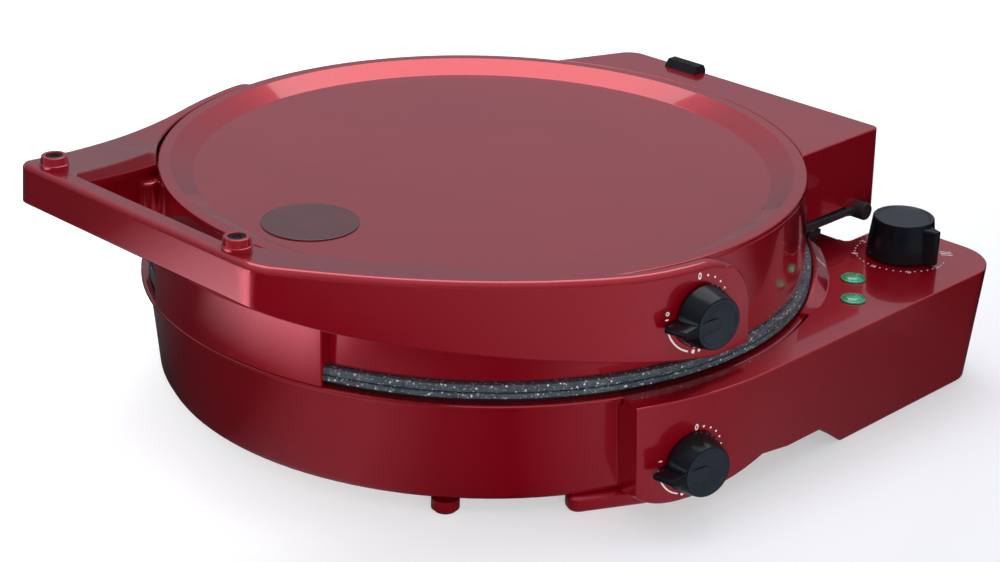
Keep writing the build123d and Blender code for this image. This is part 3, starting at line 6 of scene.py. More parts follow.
import bmesh
import bpy
from mathutils import Matrix, Quaternion, Vector


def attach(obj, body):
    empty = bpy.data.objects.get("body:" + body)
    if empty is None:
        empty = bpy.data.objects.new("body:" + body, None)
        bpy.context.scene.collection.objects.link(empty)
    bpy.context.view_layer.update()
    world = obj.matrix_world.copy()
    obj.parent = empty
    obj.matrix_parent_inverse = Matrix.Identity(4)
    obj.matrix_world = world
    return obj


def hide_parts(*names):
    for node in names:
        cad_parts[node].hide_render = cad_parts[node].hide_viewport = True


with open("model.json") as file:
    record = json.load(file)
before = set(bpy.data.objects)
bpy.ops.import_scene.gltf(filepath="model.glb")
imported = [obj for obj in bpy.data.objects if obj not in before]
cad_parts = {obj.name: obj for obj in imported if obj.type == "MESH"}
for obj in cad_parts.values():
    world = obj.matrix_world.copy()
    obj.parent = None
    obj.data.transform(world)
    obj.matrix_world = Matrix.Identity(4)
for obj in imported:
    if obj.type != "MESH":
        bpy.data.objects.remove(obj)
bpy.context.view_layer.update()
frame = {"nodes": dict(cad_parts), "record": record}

bl_info = {
    "name": "Pizza Maker Dressing",
    "version": (1, 0, 0),
    "blender": (4, 5, 0),
    "location": "View3D > Sidebar > Pizza Maker",
    "description": "Builds the shells, knobs, marks, lamps and finishes of a countertop pizza maker",
    "category": "Object",
}

NODES = frame["nodes"]

# Where the centre of the dish lies in the frame, in metres
SHIFT = Vector((-0.012746, 0.012432, 0.0))

# Shading, edges and finishes
SMOOTH_ANGLE = 40
ROUGH_SPREAD = 0.04
PRINT_LIFT = 0.00005
PRINT_THICKNESS = 0.00004

# Lid, in millimetres about the centre of the dish; the frame's values go by the distance from front to back
RING_TOP = 122.6
INNER_WALL = (169.3, 170.7)
FRAME_TOP = (
    (-229.7, 151.6), (-219.0, 148.7), (-214.7, 147.6), (-192.4, 142.0), (-173.2, 137.8), (-155.3, 134.2),
    (-137.3, 131.0))
FRAME_RISE = ((-219.0, 1.4), (-148.0, 0.0))
FRAME_START = -137.3
FRAME_HALF_WIDTH = 101.3
FRAME_TAPER = 0.53
FRAME_SINK = ((-137.0, 0.2), (-115.0, 0.5), (-90.0, 0.65), (-40.0, 0.65))
BAND_ROUND = 0.0036
LID_FEET = (-70.3, 65.7)
LID_FEET_FRONT = -220.2
FRAME_BOSS = (-98.0, -146.0)
BLANK_PLATE = (0.0, -120.4)

# Hinge: the axis from front to back and in height, the hub's radius once slimmed, and how slim it becomes
HINGE_SPOT = (180.0, 78.35)
HUB_REACH = 8.6
HUB_SHARE = 0.62
HUB_RADIUS = 4.7

# Base, in millimetres about the centre of the dish
PANEL_FOOT = (153.9, -64.0)
PANEL_FOOT_RUN = (0.465, 0.885, 0)
PANEL_FOOT_HALF = (21.8, 6.5)
PANEL_FOOT_HEIGHT = 9.0
LAMP_FRONT = (172.5, 100.1)
LAMP_REAR = (156.2, 122.1)
DECK_TOP = 65.9
UPSTAND_START = 22.0
UPSTAND_SPAN = 29.0
UPSTAND_STEPS = 17
UPSTAND_EASE = 16.0

# Knobs: where the noses point in degrees, clockwise from the top of a thermostat and from the timer's right
THERMOSTAT_NOSE = 266
TIMER_NOSE = 3
TIMER_LIFT = 0.0008

# Dial marks in degrees and millimetres
TIMER_DOTS = 24.2
TIMER_FIGURES = 24.6
TIMER_WAVES = 25.5
WAVE_LENGTH = 6.2
WAVE_SWING = 0.45
WAVE_TURN = 50

# Stage in metres
TOP_SPOT = (-0.32, 0.50, 1.62)
TOP_SIZE = (1.3, 1.3)
TOP_GLOSSY = 0.55
LAMP_AIM = (0, 0, 0.1)
CAMERA_SPOT = (0.784052, -0.80197, 0.5425)
CAMERA_AIM = (0.023752, -0.00977, 0.0680)
CAMERA_ROLL = 1.6858

# Bright and dark fields of the reflection card, by degrees round the dish, beside it and further off
CARD_PEAK = 2.4
CARD_NEAR = (
    (-180, 0.12), (-125, 0.02), (-117, 0.02), (-97, 0.03), (-82, 0.21), (-68, 0.26), (-53, 0.06), (-38, 0.0),
    (-23, 0.18), (-15, 0.30), (0, 0.16), (40, 0.05), (60, 0.0), (100, 0.0), (140, 0.10), (180, 0.12))
CARD_FAR = (
    (-180, 0.04), (-125, 0.04), (-118, 1.0), (-102, 2.4), (-88, 2.4), (-78, 0.3), (-70, 0.02), (-30, 0.02),
    (-10, 0.36), (0, 0.45), (32, 0.40), (44, 0.02), (60, 0.0), (90, 0.0), (120, 0.20), (170, 0.22),
    (180, 0.04))


# Placing and selecting

def dish(x, y, z):
    """A point in metres from millimetres about the centre of the dish."""
    return Vector((x / 1000, y / 1000, z / 1000)) + SHIFT


def rest():
    """Leaves edit mode and selects nothing."""
    if bpy.context.object and bpy.context.object.mode != "OBJECT":
        bpy.ops.object.mode_set(mode="OBJECT")
    bpy.ops.object.select_all(action="DESELECT")


def pick(obj):
    """Makes one object active and the only one selected."""
    rest()
    obj.select_set(True)
    bpy.context.view_layer.objects.active = obj


def into_mesh(obj, mode="EDGE"):
    """Opens an object in edit mode with nothing selected and returns its edit mesh."""
    pick(obj)
    bpy.ops.object.mode_set(mode="EDIT")
    bpy.ops.mesh.select_mode(type=mode)
    bpy.ops.mesh.select_all(action="DESELECT")
    return bmesh.from_edit_mesh(obj.data)


def push(obj, bm):
    """Shows a selection made in code to the operators."""
    bm.select_flush_mode()
    bmesh.update_edit_mesh(obj.data)


def settle(obj):
    """Puts an object's place, turn and size into its mesh."""
    pick(obj)
    bpy.ops.object.transform_apply(location=True, rotation=True, scale=True)


def apply_all(obj):
    """Applies every modifier of an object."""
    pick(obj)
    for modifier in list(obj.modifiers):
        bpy.ops.object.modifier_apply(modifier=modifier.name)


def smooth(obj, angle):
    """Smooth shading up to an angle in degrees."""
    pick(obj)
    bpy.ops.object.shade_smooth_by_angle(angle=math.radians(angle))


def flatten_flats(obj):
    """Keeps large faces flat beside rounded edges."""
    weigh = obj.modifiers.new("flat faces", "WEIGHTED_NORMAL")
    weigh.keep_sharp = True
    apply_all(obj)


def soften(obj, width, segments, angle):
    """Rounds the edges that are sharper than an angle in degrees."""
    bevel = obj.modifiers.new("round edges", "BEVEL")
    bevel.width = width
    bevel.segments = segments
    bevel.limit_method = "ANGLE"
    bevel.angle_limit = math.radians(angle)
    bevel.use_clamp_overlap = False
    bevel.miter_outer = "MITER_ARC"
    apply_all(obj)


def dress(obj, material, slot, body, *nodes):
    """Gives a finished piece its material, its body and the nodes that it stands for; the slot is not used.
    """
    obj.data.materials.clear()
    obj.data.materials.append(material)
    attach(obj, body)
    if nodes:
        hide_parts(*nodes)
    return obj


def eased_copy(node, name, width, shape=None):
    """A merged copy of a node, shaped further if a function is given, with rounded edges."""
    obj = NODES[node].copy()
    obj.data = NODES[node].data.copy()
    obj.parent = None
    for key in list(obj.keys()):
        del obj[key]
    obj.name = name
    obj.data.name = name
    bpy.context.scene.collection.objects.link(obj)
    pick(obj)
    if obj.data.has_custom_normals:
        bpy.ops.mesh.customdata_custom_splitnormals_clear()
    bpy.ops.object.mode_set(mode="EDIT")
    bpy.ops.mesh.select_all(action="SELECT")
    bpy.ops.mesh.remove_doubles(threshold=0.00002)
    bpy.ops.mesh.dissolve_limited(angle_limit=math.radians(0.6))
    rest()
    if shape:
        shape(obj)
    soften(obj, width, 3, 28)
    into_mesh(obj, "FACE")
    bpy.ops.mesh.select_all(action="SELECT")
    bpy.ops.mesh.quads_convert_to_tris(quad_method="FIXED", ngon_method="BEAUTY")
    rest()
    smooth(obj, SMOOTH_ANGLE)
    flatten_flats(obj)
    return obj


def rounded(*corners, parts=4):
    """An outline of (radius, height) points in which each (radius, height, round) corner becomes an arc."""
    line = []
    for index, (x, z, bend) in enumerate(corners):
        if not bend:
            line.append((x, z))
            continue
        spot = Vector((x, z))
        back = (Vector(corners[index - 1][:2]) - spot).normalized()
        ahead = (Vector(corners[index + 1][:2]) - spot).normalized()
        half = back.angle(ahead) / 2
        centre = spot + (back + ahead).normalized() * bend / math.sin(half)
        start = spot + back * bend / math.tan(half) - centre
        end = spot + ahead * bend / math.tan(half) - centre
        for step in range(parts + 1):
            share = step / parts
            line.append(tuple(centre + (start * (1 - share) + end * share).normalized() * bend))
    return line


def turned(name, outline, steps=96, arc=360.0, start=0.0):
    """A piece spun about the z axis from its (radius, height) outline in millimetres."""
    rest()
    bpy.ops.mesh.primitive_plane_add(size=0.001, location=(0, 0, 0))
    obj = bpy.context.object
    obj.name = obj.data.name = name
    bpy.ops.object.mode_set(mode="EDIT")
    bpy.ops.mesh.select_mode(type="VERT")
    bpy.ops.mesh.select_all(action="SELECT")
    bpy.ops.mesh.merge(type="CENTER")
    bpy.ops.transform.translate(value=(outline[0][0] / 1000, 0, outline[0][1] / 1000))
    for (x, z), (next_x, next_z) in zip(outline, outline[1:]):
        step = ((next_x - x) / 1000, 0, (next_z - z) / 1000)
        bpy.ops.mesh.extrude_region_move(TRANSFORM_OT_translate={"value": step})
    if arc < 360:
        bpy.ops.mesh.select_all(action="SELECT")
        bpy.ops.mesh.edge_face_add()
    bpy.ops.mesh.select_all(action="SELECT")
    bpy.ops.mesh.spin(steps=steps, angle=math.radians(arc), center=(0, 0, 0), axis=(0, 0, 1))
    bpy.ops.mesh.select_all(action="SELECT")
    bpy.ops.mesh.remove_doubles(threshold=0.000004)
    bpy.ops.mesh.select_all(action="SELECT")
    bpy.ops.mesh.normals_make_consistent(inside=False)
    rest()
    if start:
        obj.rotation_euler = (0, 0, math.radians(start))
        settle(obj)
    return obj


def stand(obj, spot, out=(0, 0, 1), up=(1, 0, 0)):
    """Turns a piece so that its z points out and its x points up, and moves it to its spot."""
    z = Vector(out).normalized()
    x = (Vector(up) - z * Vector(up).dot(z)).normalized()
    turn = Matrix((x, z.cross(x), z)).transposed()
    obj.matrix_world = Matrix.Translation(Vector(spot)) @ turn.to_4x4()
    settle(obj)
    return obj


def block(name, low, high):
    """A box between two corners in millimetres, to be shaped further."""
    rest()
    middle = [(a + b) / 2000 for a, b in zip(low, high)]
    size = [(b - a) / 1000 for a, b in zip(low, high)]
    bpy.ops.mesh.primitive_cube_add(size=1, location=middle, scale=size)
    obj = bpy.context.object
    obj.name = obj.data.name = name
    settle(obj)
    return obj


def choose(obj, test, mode="FACE"):
    """Selects, in edit mode, the faces, edges or corners whose middle in millimetres passes a test."""
    bm = into_mesh(obj, mode)
    items = {"FACE": bm.faces, "EDGE": bm.edges, "VERT": bm.verts}[mode]
    for item in items:
        if mode == "FACE":
            middle = item.calc_center_median()
        elif mode == "EDGE":
            middle = (item.verts[0].co + item.verts[1].co) / 2
        else:
            middle = item.co
        if test(*(middle * 1000)):
            item.select_set(True)
    push(obj, bm)


def join(name, *parts):
    """Joins pieces into one object."""
    rest()
    for part in parts:
        part.select_set(True)
    bpy.context.view_layer.objects.active = parts[0]
    bpy.ops.object.join()
    obj = bpy.context.object
    obj.name = obj.data.name = name
    return obj


def twin(obj, name):
    """A copy with its own mesh."""
    copy = obj.copy()
    copy.data = obj.data.copy()
    copy.name = copy.data.name = name
    bpy.context.scene.collection.objects.link(copy)
    return copy


# Materials

def paint(name):
    """A material of nodes, with none in it yet."""
    material = bpy.data.materials.new(name)
    material.use_nodes = True
    material.node_tree.nodes.clear()
    return material


def add(material, kind, **inputs):
    """Adds a node and sets its inputs, by name, to a value or to another node's output."""
    node = material.node_tree.nodes.new("ShaderNode" + kind)
    return feed(material, node, **inputs)


def feed(material, node, **inputs):
    """Sets or links the inputs of a node."""
    for key, value in inputs.items():
        numbered = key[0] == "i" and key[1:].isdigit()
        socket = node.inputs[int(key[1:]) if numbered else key.replace("_", " ")]
        if isinstance(value, bpy.types.NodeSocket):
            material.node_tree.links.new(value, socket)
        else:
            socket.default_value = value
    return node


def ramp(material, factor, *stops):
    """A colour ramp from (place, colour) stops."""
    node = add(material, "ValToRGB", Fac=factor)
    elements = node.color_ramp.elements
    while len(elements) < len(stops):
        elements.new(0.5)
    for element, (place, colour) in zip(elements, stops):
        element.position = place
        element.color = (*colour[:3], 1.0)
    return node


def grey(value):
    """A grey of one value."""
    return (value, value, value, 1.0)


def cool(value):
    """A slightly blue grey."""
    return (0.92 * value, 0.96 * value, 1.10 * value, 1.0)


def finish(material, shader):
    """Joins a shader to the output."""
    out = material.node_tree.nodes.new("ShaderNodeOutputMaterial")
    material.node_tree.links.new(shader.outputs[0], out.inputs["Surface"])
    return material


def noise(material, scale, detail):
    """Noise on object coordinates."""
    place = add(material, "TexCoord")
    return add(material, "TexNoise", Vector=place.outputs["Object"], Scale=scale, Detail=detail,
               Roughness=0.55)


def mapped(material, value, low, high, to_low, to_high):
    """A value moved from one range to another."""
    node = add(material, "MapRange", Value=value)
    for key, number in zip(("From Min", "From Max", "To Min", "To Max"), (low, high, to_low, to_high)):
        node.inputs[key].default_value = number
    return node


def bumped(material, height, strength, distance):
    """A bump from a height."""
    return add(material, "Bump", Height=height, Strength=strength, Distance=distance)


def red_lacquer():
    """Wine red metallic lacquer: fine flakes under a clear gloss coat."""
    m = paint("glossy_red_lacquer")
    cloud = noise(m, 9.0, 2.0)
    flakes = noise(m, 2600.0, 1.0)
    tone = ramp(m, cloud.outputs["Fac"], (0.3, (0.385, 0.0024, 0.012)), (0.7, (0.425, 0.0032, 0.015)))
    spark = add(m, "Mix")
    spark.data_type = "RGBA"
    spark.blend_type = "MULTIPLY"
    feed(m, spark, i0=0.35, i6=tone.outputs["Color"])
    flake_tone = ramp(m, flakes.outputs["Fac"], (0.35, grey(0.72)), (0.65, grey(1.25)))
    feed(m, spark, i7=flake_tone.outputs["Color"])
    rough = mapped(m, cloud.outputs["Fac"], 0.3, 0.7, 0.20, 0.25)
    peel = noise(m, 420.0, 2.0)
    bump = bumped(m, peel.outputs["Fac"], 0.05, 0.00008)
    shader = add(
        m, "BsdfPrincipled", Base_Color=spark.outputs[2], Metallic=0.58, Roughness=rough.outputs["Result"],
        Coat_Weight=1.0, Coat_Roughness=0.04, Normal=bump.outputs["Normal"],
    )
    return finish(m, shader)


def plain_finish(name, colour, roughness, metallic=0.0, grain=700.0, depth=0.00003, coat=0.0, tone=0.12,
                 gloss=0.5):
    """A moulded, cast or rolled surface with a fine grain in its colour, gloss and relief."""
    m = paint(name)
    cloud = noise(m, 60.0, 4.0)
    fine = noise(m, grain, 2.0)
    dark = tuple(c * (1 - tone) for c in colour)
    light = tuple(min(1.0, c * (1 + tone)) for c in colour)
    base = ramp(m, cloud.outputs["Fac"], (0.35, dark), (0.65, light))
    rough = mapped(m, fine.outputs["Fac"], 0.3, 0.7, roughness - ROUGH_SPREAD, roughness + ROUGH_SPREAD)
    bump = bumped(m, fine.outputs["Fac"], 0.4, depth)
    shader = add(
        m, "BsdfPrincipled", Base_Color=base.outputs["Color"], Metallic=metallic,
        Roughness=rough.outputs["Result"], Coat_Weight=coat, Coat_Roughness=0.08,
        Normal=bump.outputs["Normal"], Specular_IOR_Level=gloss,
    )
    return finish(m, shader)


def speckled_stone():
    """Dark blue-grey non-stick coating with white and black specks."""
    m = paint("speckled_stone_coating")
    place = add(m, "TexCoord")
    cloud = noise(m, 140.0, 3.0)
    body = ramp(m, cloud.outputs["Fac"], (0.3, (0.036, 0.050, 0.060)), (0.7, (0.075, 0.096, 0.112)))
    colour = body.outputs["Color"]
    specks = ((650.0, 0.24, grey(0.70)), (1150.0, 0.26, grey(0.45)), (900.0, 0.16, grey(0.008)))
    for scale, share, tone in specks:
        warp = add(m, "Mapping", Vector=place.outputs["Object"])
        warp.inputs["Location"].default_value = (scale / 977, scale / 1311, scale / 733)
        cells = add(m, "TexVoronoi", Vector=warp.outputs["Vector"], Scale=scale)
        chosen = add(m, "SeparateColor", Color=cells.outputs["Color"])
        keep = add(m, "Math", i0=chosen.outputs[0], i1=share)
        keep.operation = "LESS_THAN"
        near = mapped(m, cells.outputs["Distance"], 0.18, 0.42, 1.0, 0.0)
        both = add(m, "Math", i0=keep.outputs[0], i1=near.outputs["Result"])
        both.operation = "MULTIPLY"
        mix = add(m, "Mix")
        mix.data_type = "RGBA"
        feed(m, mix, i0=both.outputs[0], i6=colour, i7=tone)
        colour = mix.outputs[2]
    fine = noise(m, 1500.0, 2.0)
    bump = bumped(m, fine.outputs["Fac"], 0.5, 0.00006)
    shader = add(m, "BsdfPrincipled", Base_Color=colour, Roughness=0.42, Normal=bump.outputs["Normal"])
    return finish(m, shader)


def green_glass():
    """Clear green lamp lens."""
    m = paint("green_lamp_lens")
    cloud = noise(m, 300.0, 2.0)
    tone = ramp(m, cloud.outputs["Fac"], (0.3, (0.008, 0.30, 0.14)), (0.7, (0.016, 0.38, 0.18)))
    shader = add(
        m, "BsdfPrincipled", Base_Color=tone.outputs["Color"], Roughness=0.05, IOR=1.49,
        Transmission_Weight=0.25, Coat_Weight=1.0,
    )
    return finish(m, shader)


MATERIALS = {}


def make_finishes():
    """Every finish, by the record's slot names."""
    MATERIALS.update({
        "glossy_red_shell": red_lacquer(),
        "stone_coating": speckled_stone(),
        "knob_black": plain_finish(
            "satin_knob_plastic", (0.004, 0.005, 0.007), 0.20, depth=0.00001, gloss=0.22),
        # The knob faces are the same black plastic as the sides; their lighter blue-grey colour is painted
        # sheen, standing in for the lamps' reflection on the flat faces.
        "knob_face": plain_finish(
            "knob_face_painted_sheen_plastic", (0.014, 0.019, 0.026), 0.30, depth=0.00001, gloss=0.35),
        "black_plastic": plain_finish("moulded_black_plastic", (0.016, 0.017, 0.019), 0.48),
        "black_rubber": plain_finish("matt_black_rubber", (0.010, 0.010, 0.011), 0.7, gloss=0.2),
        "green_lens": green_glass(),
        "badge_metal": plain_finish("enamelled_plate", (0.085, 0.012, 0.012), 0.28, coat=0.6),
        "print_white": plain_finish("white_dial_print", (0.86, 0.84, 0.83), 0.45, grain=2200.0, tone=0.04),
        "element_steel": plain_finish("heater_tube_steel", (0.17, 0.155, 0.14), 0.45, 0.9),
        "zinc_steel": plain_finish("zinc_plated_steel", (0.42, 0.43, 0.44), 0.38, 0.95),
        "pin_steel": plain_finish("ground_pin_steel", (0.55, 0.56, 0.57), 0.22, 1.0),
        "reflector_aluminium": plain_finish("bright_aluminium_sheet", (0.60, 0.61, 0.62), 0.25, 1.0),
        "white_ceramic": plain_finish("unglazed_ceramic", (0.78, 0.75, 0.68), 0.65),
    })


def finish_nodes():
    """Gives every node the finish of its slot."""
    for part in frame["record"]["subparts"]:
        obj = NODES[part["node"]]
        obj.data.materials.clear()
        obj.data.materials.append(MATERIALS[part["material_slot"]])


# Sizes and colours that a user would change

class ShellSizes(bpy.types.PropertyGroup):
    """Edge rounds of the red shells."""
    lid_round: bpy.props.FloatProperty(
        name="Lid edge round", description="Radius along the edges of the lid", default=0.0009, unit="LENGTH")
    base_round: bpy.props.FloatProperty(
        name="Base edge round", description="Radius along the edges of the base", default=0.0009,
        unit="LENGTH")
    skirt_round: bpy.props.FloatProperty(
        name="Skirt edge round", description="Radius along the edges of the skirt", default=0.0007,
        unit="LENGTH")


class KnobSizes(bpy.types.PropertyGroup):
    """Hollow of the knob faces."""
    hollow: bpy.props.FloatProperty(
        name="Face hollow", description="Depth of the hollow in a knob face", default=0.0013, unit="LENGTH")


class MarkSizes(bpy.types.PropertyGroup):
    """Printed dial marks."""
    dot: bpy.props.FloatProperty(
        name="Dot", description="Radius of a printed dot", default=0.0006, unit="LENGTH")
    stroke: bpy.props.FloatProperty(
        name="Stroke", description="Width of a printed line", default=0.0008, unit="LENGTH")


class StageSizes(bpy.types.PropertyGroup):
    """Camera and light levels."""
    lens: bpy.props.FloatProperty(
        name="Lens", description="Focal length of the camera in millimetres", default=82.94)
    top_light: bpy.props.FloatProperty(
        name="Top light", description="Power of the soft box above", default=19.0, unit="POWER")
    right_light: bpy.props.FloatProperty(
        name="Right light", description="Power of the lamp at the right", default=1.2, unit="POWER")
    front_light: bpy.props.FloatProperty(
        name="Front light", description="Power of the lamp in front", default=16.0, unit="POWER")


# Operators, each after the functions that it needs

class PIZZA_OT_finishes(bpy.types.Operator):
    """Makes the finishes and gives each node its own"""
    bl_idname = "pizza.finishes"
    bl_label = "Finishes"

    def execute(self, context):
        make_finishes()
        finish_nodes()
        return {"FINISHED"}


def between(places, here):
    """A value read off a line of (place, value) points."""
    if here <= places[0][0]:
        return places[0][1]
    for (low, first), (high, second) in zip(places, places[1:]):
        if here <= high:
            return first + (second - first) * (here - low) / (high - low)
    return places[-1][1]


def shape_lid(obj):
    """Banks the handle frame, lowers its left arm to the ring and rounds the outer top edge of the band."""
    for step in range(40):
        low = -219.6 + step * 2
        high = low + 2
        rise = between(FRAME_RISE, low + 1)

        def inner(x, y, z):
            x, y = x - SHIFT.x * 1000, y - SHIFT.y * 1000
            inside = abs(x) < FRAME_HALF_WIDTH - (FRAME_START - y) * FRAME_TAPER
            return low <= y < high and y < -138 and inside and z > between(FRAME_TOP, y) - 0.6

        choose(obj, inner, "VERT")
        bpy.ops.transform.translate(value=(0, 0, rise / 1000))
    for step in range(20):
        low = -140 + step * 6
        high = low + 6

        def beside_ring(x, y, z):
            x, y = x - SHIFT.x * 1000, y - SHIFT.y * 1000
            on_wall = INNER_WALL[0] < math.hypot(x, y) < INNER_WALL[1]
            return low <= y < high and x < 0 and z > RING_TOP + 0.3 and on_wall

        choose(obj, beside_ring, "VERT")
        share = 1 - between(FRAME_SINK, low + 3)
        bpy.ops.transform.resize(value=(1, 1, share), center_override=(0, 0, RING_TOP / 1000))
    bm = into_mesh(obj, "EDGE")
    for edge in bm.edges:
        if len(edge.link_faces) != 2:
            continue
        upper, side = sorted(edge.link_faces, key=lambda face: -face.normal.z)
        middle = (edge.verts[0].co + edge.verts[1].co) / 2 - SHIFT
        out = Vector((middle.x, middle.y, 0))
        level = middle.z > 0.1195 and out.length > 0.1755
        if level and upper.normal.z > 0.6 and side.normal.z < 0.3 and side.normal.dot(out.normalized()) > 0.6:
            edge.select_set(middle.y < 0.03)
    push(obj, bm)
    bpy.ops.mesh.bevel(offset=BAND_ROUND, segments=6, affect="EDGES")
    rest()


class PIZZA_OT_lid_shell(bpy.types.Operator):
    """Rounds the edges of the lid moulding and turns its ring and disc"""
    bl_idname = "pizza.lid_shell"
    bl_label = "Lid Shell"

    def execute(self, context):
        sizes = context.scene.pizza_shell
        red = MATERIALS["glossy_red_shell"]
        lid = eased_copy("lid_shell", "lid_moulding", sizes.lid_round, shape=shape_lid)
        dress(lid, red, "glossy_red_shell", "lid", "lid_shell")
        ring = turned("lid_ring", rounded(
            (0, 116.15, 0), (151.05, 116.15, 3.0), (163.3, 122.65, 2.0), (169.75, 122.65, 0.9),
            (169.8, 120.6, 0), (170.2, 119.9, 0.3), (172.72, 73.45, 0.6), (171.4, 73.45, 0),
            (168.9, 119.9, 0), (166.6, 121.3, 0), (163.8, 121.2, 0), (151.5, 114.8, 0),
            (0, 114.8, 0), parts=6), steps=192)
        stand(ring, dish(0, 0, 0))
        smooth(ring, SMOOTH_ANGLE)
        dress(ring, red, "glossy_red_shell", "lid", "lid_shell")
        skirt = eased_copy("front_skirt", "skirt_moulding", sizes.skirt_round)
        dress(skirt, red, "glossy_red_shell", "lid", "front_skirt")
        return {"FINISHED"}


class PIZZA_OT_base_shell(bpy.types.Operator):
    """Rounds the edges of the base moulding and makes its foot block"""
    bl_idname = "pizza.base_shell"
    bl_label = "Base Shell"

    def execute(self, context):
        sizes = context.scene.pizza_shell
        red = MATERIALS["glossy_red_shell"]
        base = eased_copy("base_shell", "base_moulding", sizes.base_round)
        dress(base, red, "glossy_red_shell", "base", "base_shell")
        long, wide = PANEL_FOOT_HALF
        foot = block("panel_foot_block", (-long, -wide, 0.0), (long, wide, PANEL_FOOT_HEIGHT))
        half = PANEL_FOOT_HEIGHT / 2
        choose(foot, lambda x, y, z: abs(z - half) < 0.5 and abs(abs(x) - long) < 0.2, "EDGE")
        bpy.ops.mesh.bevel(offset=0.0055, segments=8, affect="EDGES")
        rest()
        soften(foot, 0.0028, 4, 40)
        smooth(foot, SMOOTH_ANGLE)
        stand(foot, dish(*PANEL_FOOT, 0), (0, 0, 1), PANEL_FOOT_RUN)
        dress(foot, red, "glossy_red_shell", "base", "panel_foot")
        return {"FINISHED"}


def knob_joint(name):
    """Where a knob turns and which way its face looks."""
    for joint in frame["record"]["behaviour"]["joints"]:
        if joint["name"] == name:
            return Vector(joint["pos_m"]), Vector(joint["axis"])
    raise RuntimeError("no joint named " + name)


def make_knob(name, low, face, height, reach, nose, hollow, tail=1.5, drop=0.15):
    """A tapered knob on the z axis, in millimetres: side, hollow face and a nose that reaches past them."""
    body = turned(name + "_body", rounded(
        (0, 0.3, 0), (low, 0.3, 0.5), (face, height, 0.9), (face - 1.7, height, 0.5),
        (face - 2.6, height - hollow * 0.55, 0.6), (face * 0.45, height - hollow, 6.0),
        (0, height - hollow, 0)), steps=72)
    finger = block(name + "_nose", (-tail, -nose / 2, 0.6), (reach, nose / 2, height - drop))
    pick(finger)
    bpy.ops.object.mode_set(mode="EDIT")
    bpy.ops.mesh.select_all(action="SELECT")
    bpy.ops.mesh.bisect(plane_co=((face - 1.0) / 1000, 0, 0), plane_no=(1, 0, 0))
    choose(finger, lambda x, y, z: x > reach - 0.01)
    bpy.ops.transform.resize(value=(1, 0.48, 1))
    choose(finger, lambda x, y, z: x > reach - 0.01 and z > height - 1, "EDGE")
    bpy.ops.transform.translate(value=((face - low) / 1000, 0, 0))
    choose(finger, lambda x, y, z: x < 0.5 - tail and abs(y) > nose / 2 - 0.1 and 1 < z < height - 1, "EDGE")
    bpy.ops.mesh.bevel(offset=nose / 2100, segments=6, affect="EDGES")
    choose(finger, lambda x, y, z: x > face and abs(y) > 0.5 and 1 < z < height - 1, "EDGE")
    bpy.ops.mesh.bevel(offset=nose / 5500, segments=4, affect="EDGES")
    rest()
    soften(finger, 0.0005, 3, 35)
    knob = join(name, body, finger)
    smooth(knob, 35)
    knob.data.materials.clear()
    for key in ("knob_black", "knob_face"):
        knob.data.materials.append(MATERIALS[key])
    # The faces take the lighter copy of the knob plastic, whose tone is painted sheen.
    choose(knob, lambda x, y, z: z > height - hollow - 0.3 and math.hypot(x, y) < face - 0.4)
    knob.active_material_index = 1
    bpy.ops.object.material_slot_assign()
    rest()
    return knob


def place_knob(obj, body, node):
    """Gives a knob its body and node; its two finishes stay as they are."""
    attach(obj, body)
    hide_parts(node)


class PIZZA_OT_knobs(bpy.types.Operator):
    """Makes the two thermostat knobs and the timer knob"""
    bl_idname = "pizza.knobs"
    bl_label = "Knobs"

    def execute(self, context):
        hollow = context.scene.pizza_knob.hollow * 1000
        upper = make_knob("upper_thermostat_knob", 16.2, 12.9, 12.5, 24.0, 6.6, hollow)
        lower = twin(upper, "lower_thermostat_knob")
        for obj, level in ((upper, "upper"), (lower, "lower")):
            spot, out = knob_joint(level + "_knob_turn")
            nose = Vector((0, 0, 1))
            nose.rotate(Quaternion(out, math.radians(-THERMOSTAT_NOSE)))
            stand(obj, spot, out, nose)
            place_knob(obj, level + "_knob_body", level + "_knob")
        timer = make_knob("timer_dial_knob", 18.8, 16.4, 21.6, 24.0, 8.6, hollow, tail=-12.0, drop=1.9)
        spot, out = knob_joint("timer_knob_turn")
        nose = (math.cos(math.radians(-TIMER_NOSE)), math.sin(math.radians(-TIMER_NOSE)), 0)
        stand(timer, spot + Vector((0, 0, TIMER_LIFT)), (0, 0, 1), nose)
        place_knob(timer, "timer_knob_body", "timer_knob")
        return {"FINISHED"}


# Printed marks, drawn flat about a dial's middle in millimetres and then laid on their shell

def dot(x, y, radius):
    """A round dot."""
    bpy.ops.mesh.primitive_circle_add(vertices=14, radius=radius / 1000, fill_type="NGON",
                                      location=(x / 1000, y / 1000, 0))
    return bpy.context.object


def loop(x, y, half_x, half_y, stroke):
    """A closed oval line."""
    rest()
    bpy.ops.mesh.primitive_circle_add(vertices=28, radius=half_x / 1000, fill_type="NGON",
                                      location=(x / 1000, y / 1000, 0))
    obj = bpy.context.object
    obj.scale = (1, half_y / half_x, 1)
    settle(obj)
    pick(obj)
    bpy.ops.object.mode_set(mode="EDIT")
    bpy.ops.mesh.select_mode(type="FACE")
    bpy.ops.mesh.select_all(action="SELECT")
    bpy.ops.mesh.inset(thickness=stroke / 1000, depth=0)
    bpy.ops.mesh.delete(type="FACE")
    rest()
    return obj


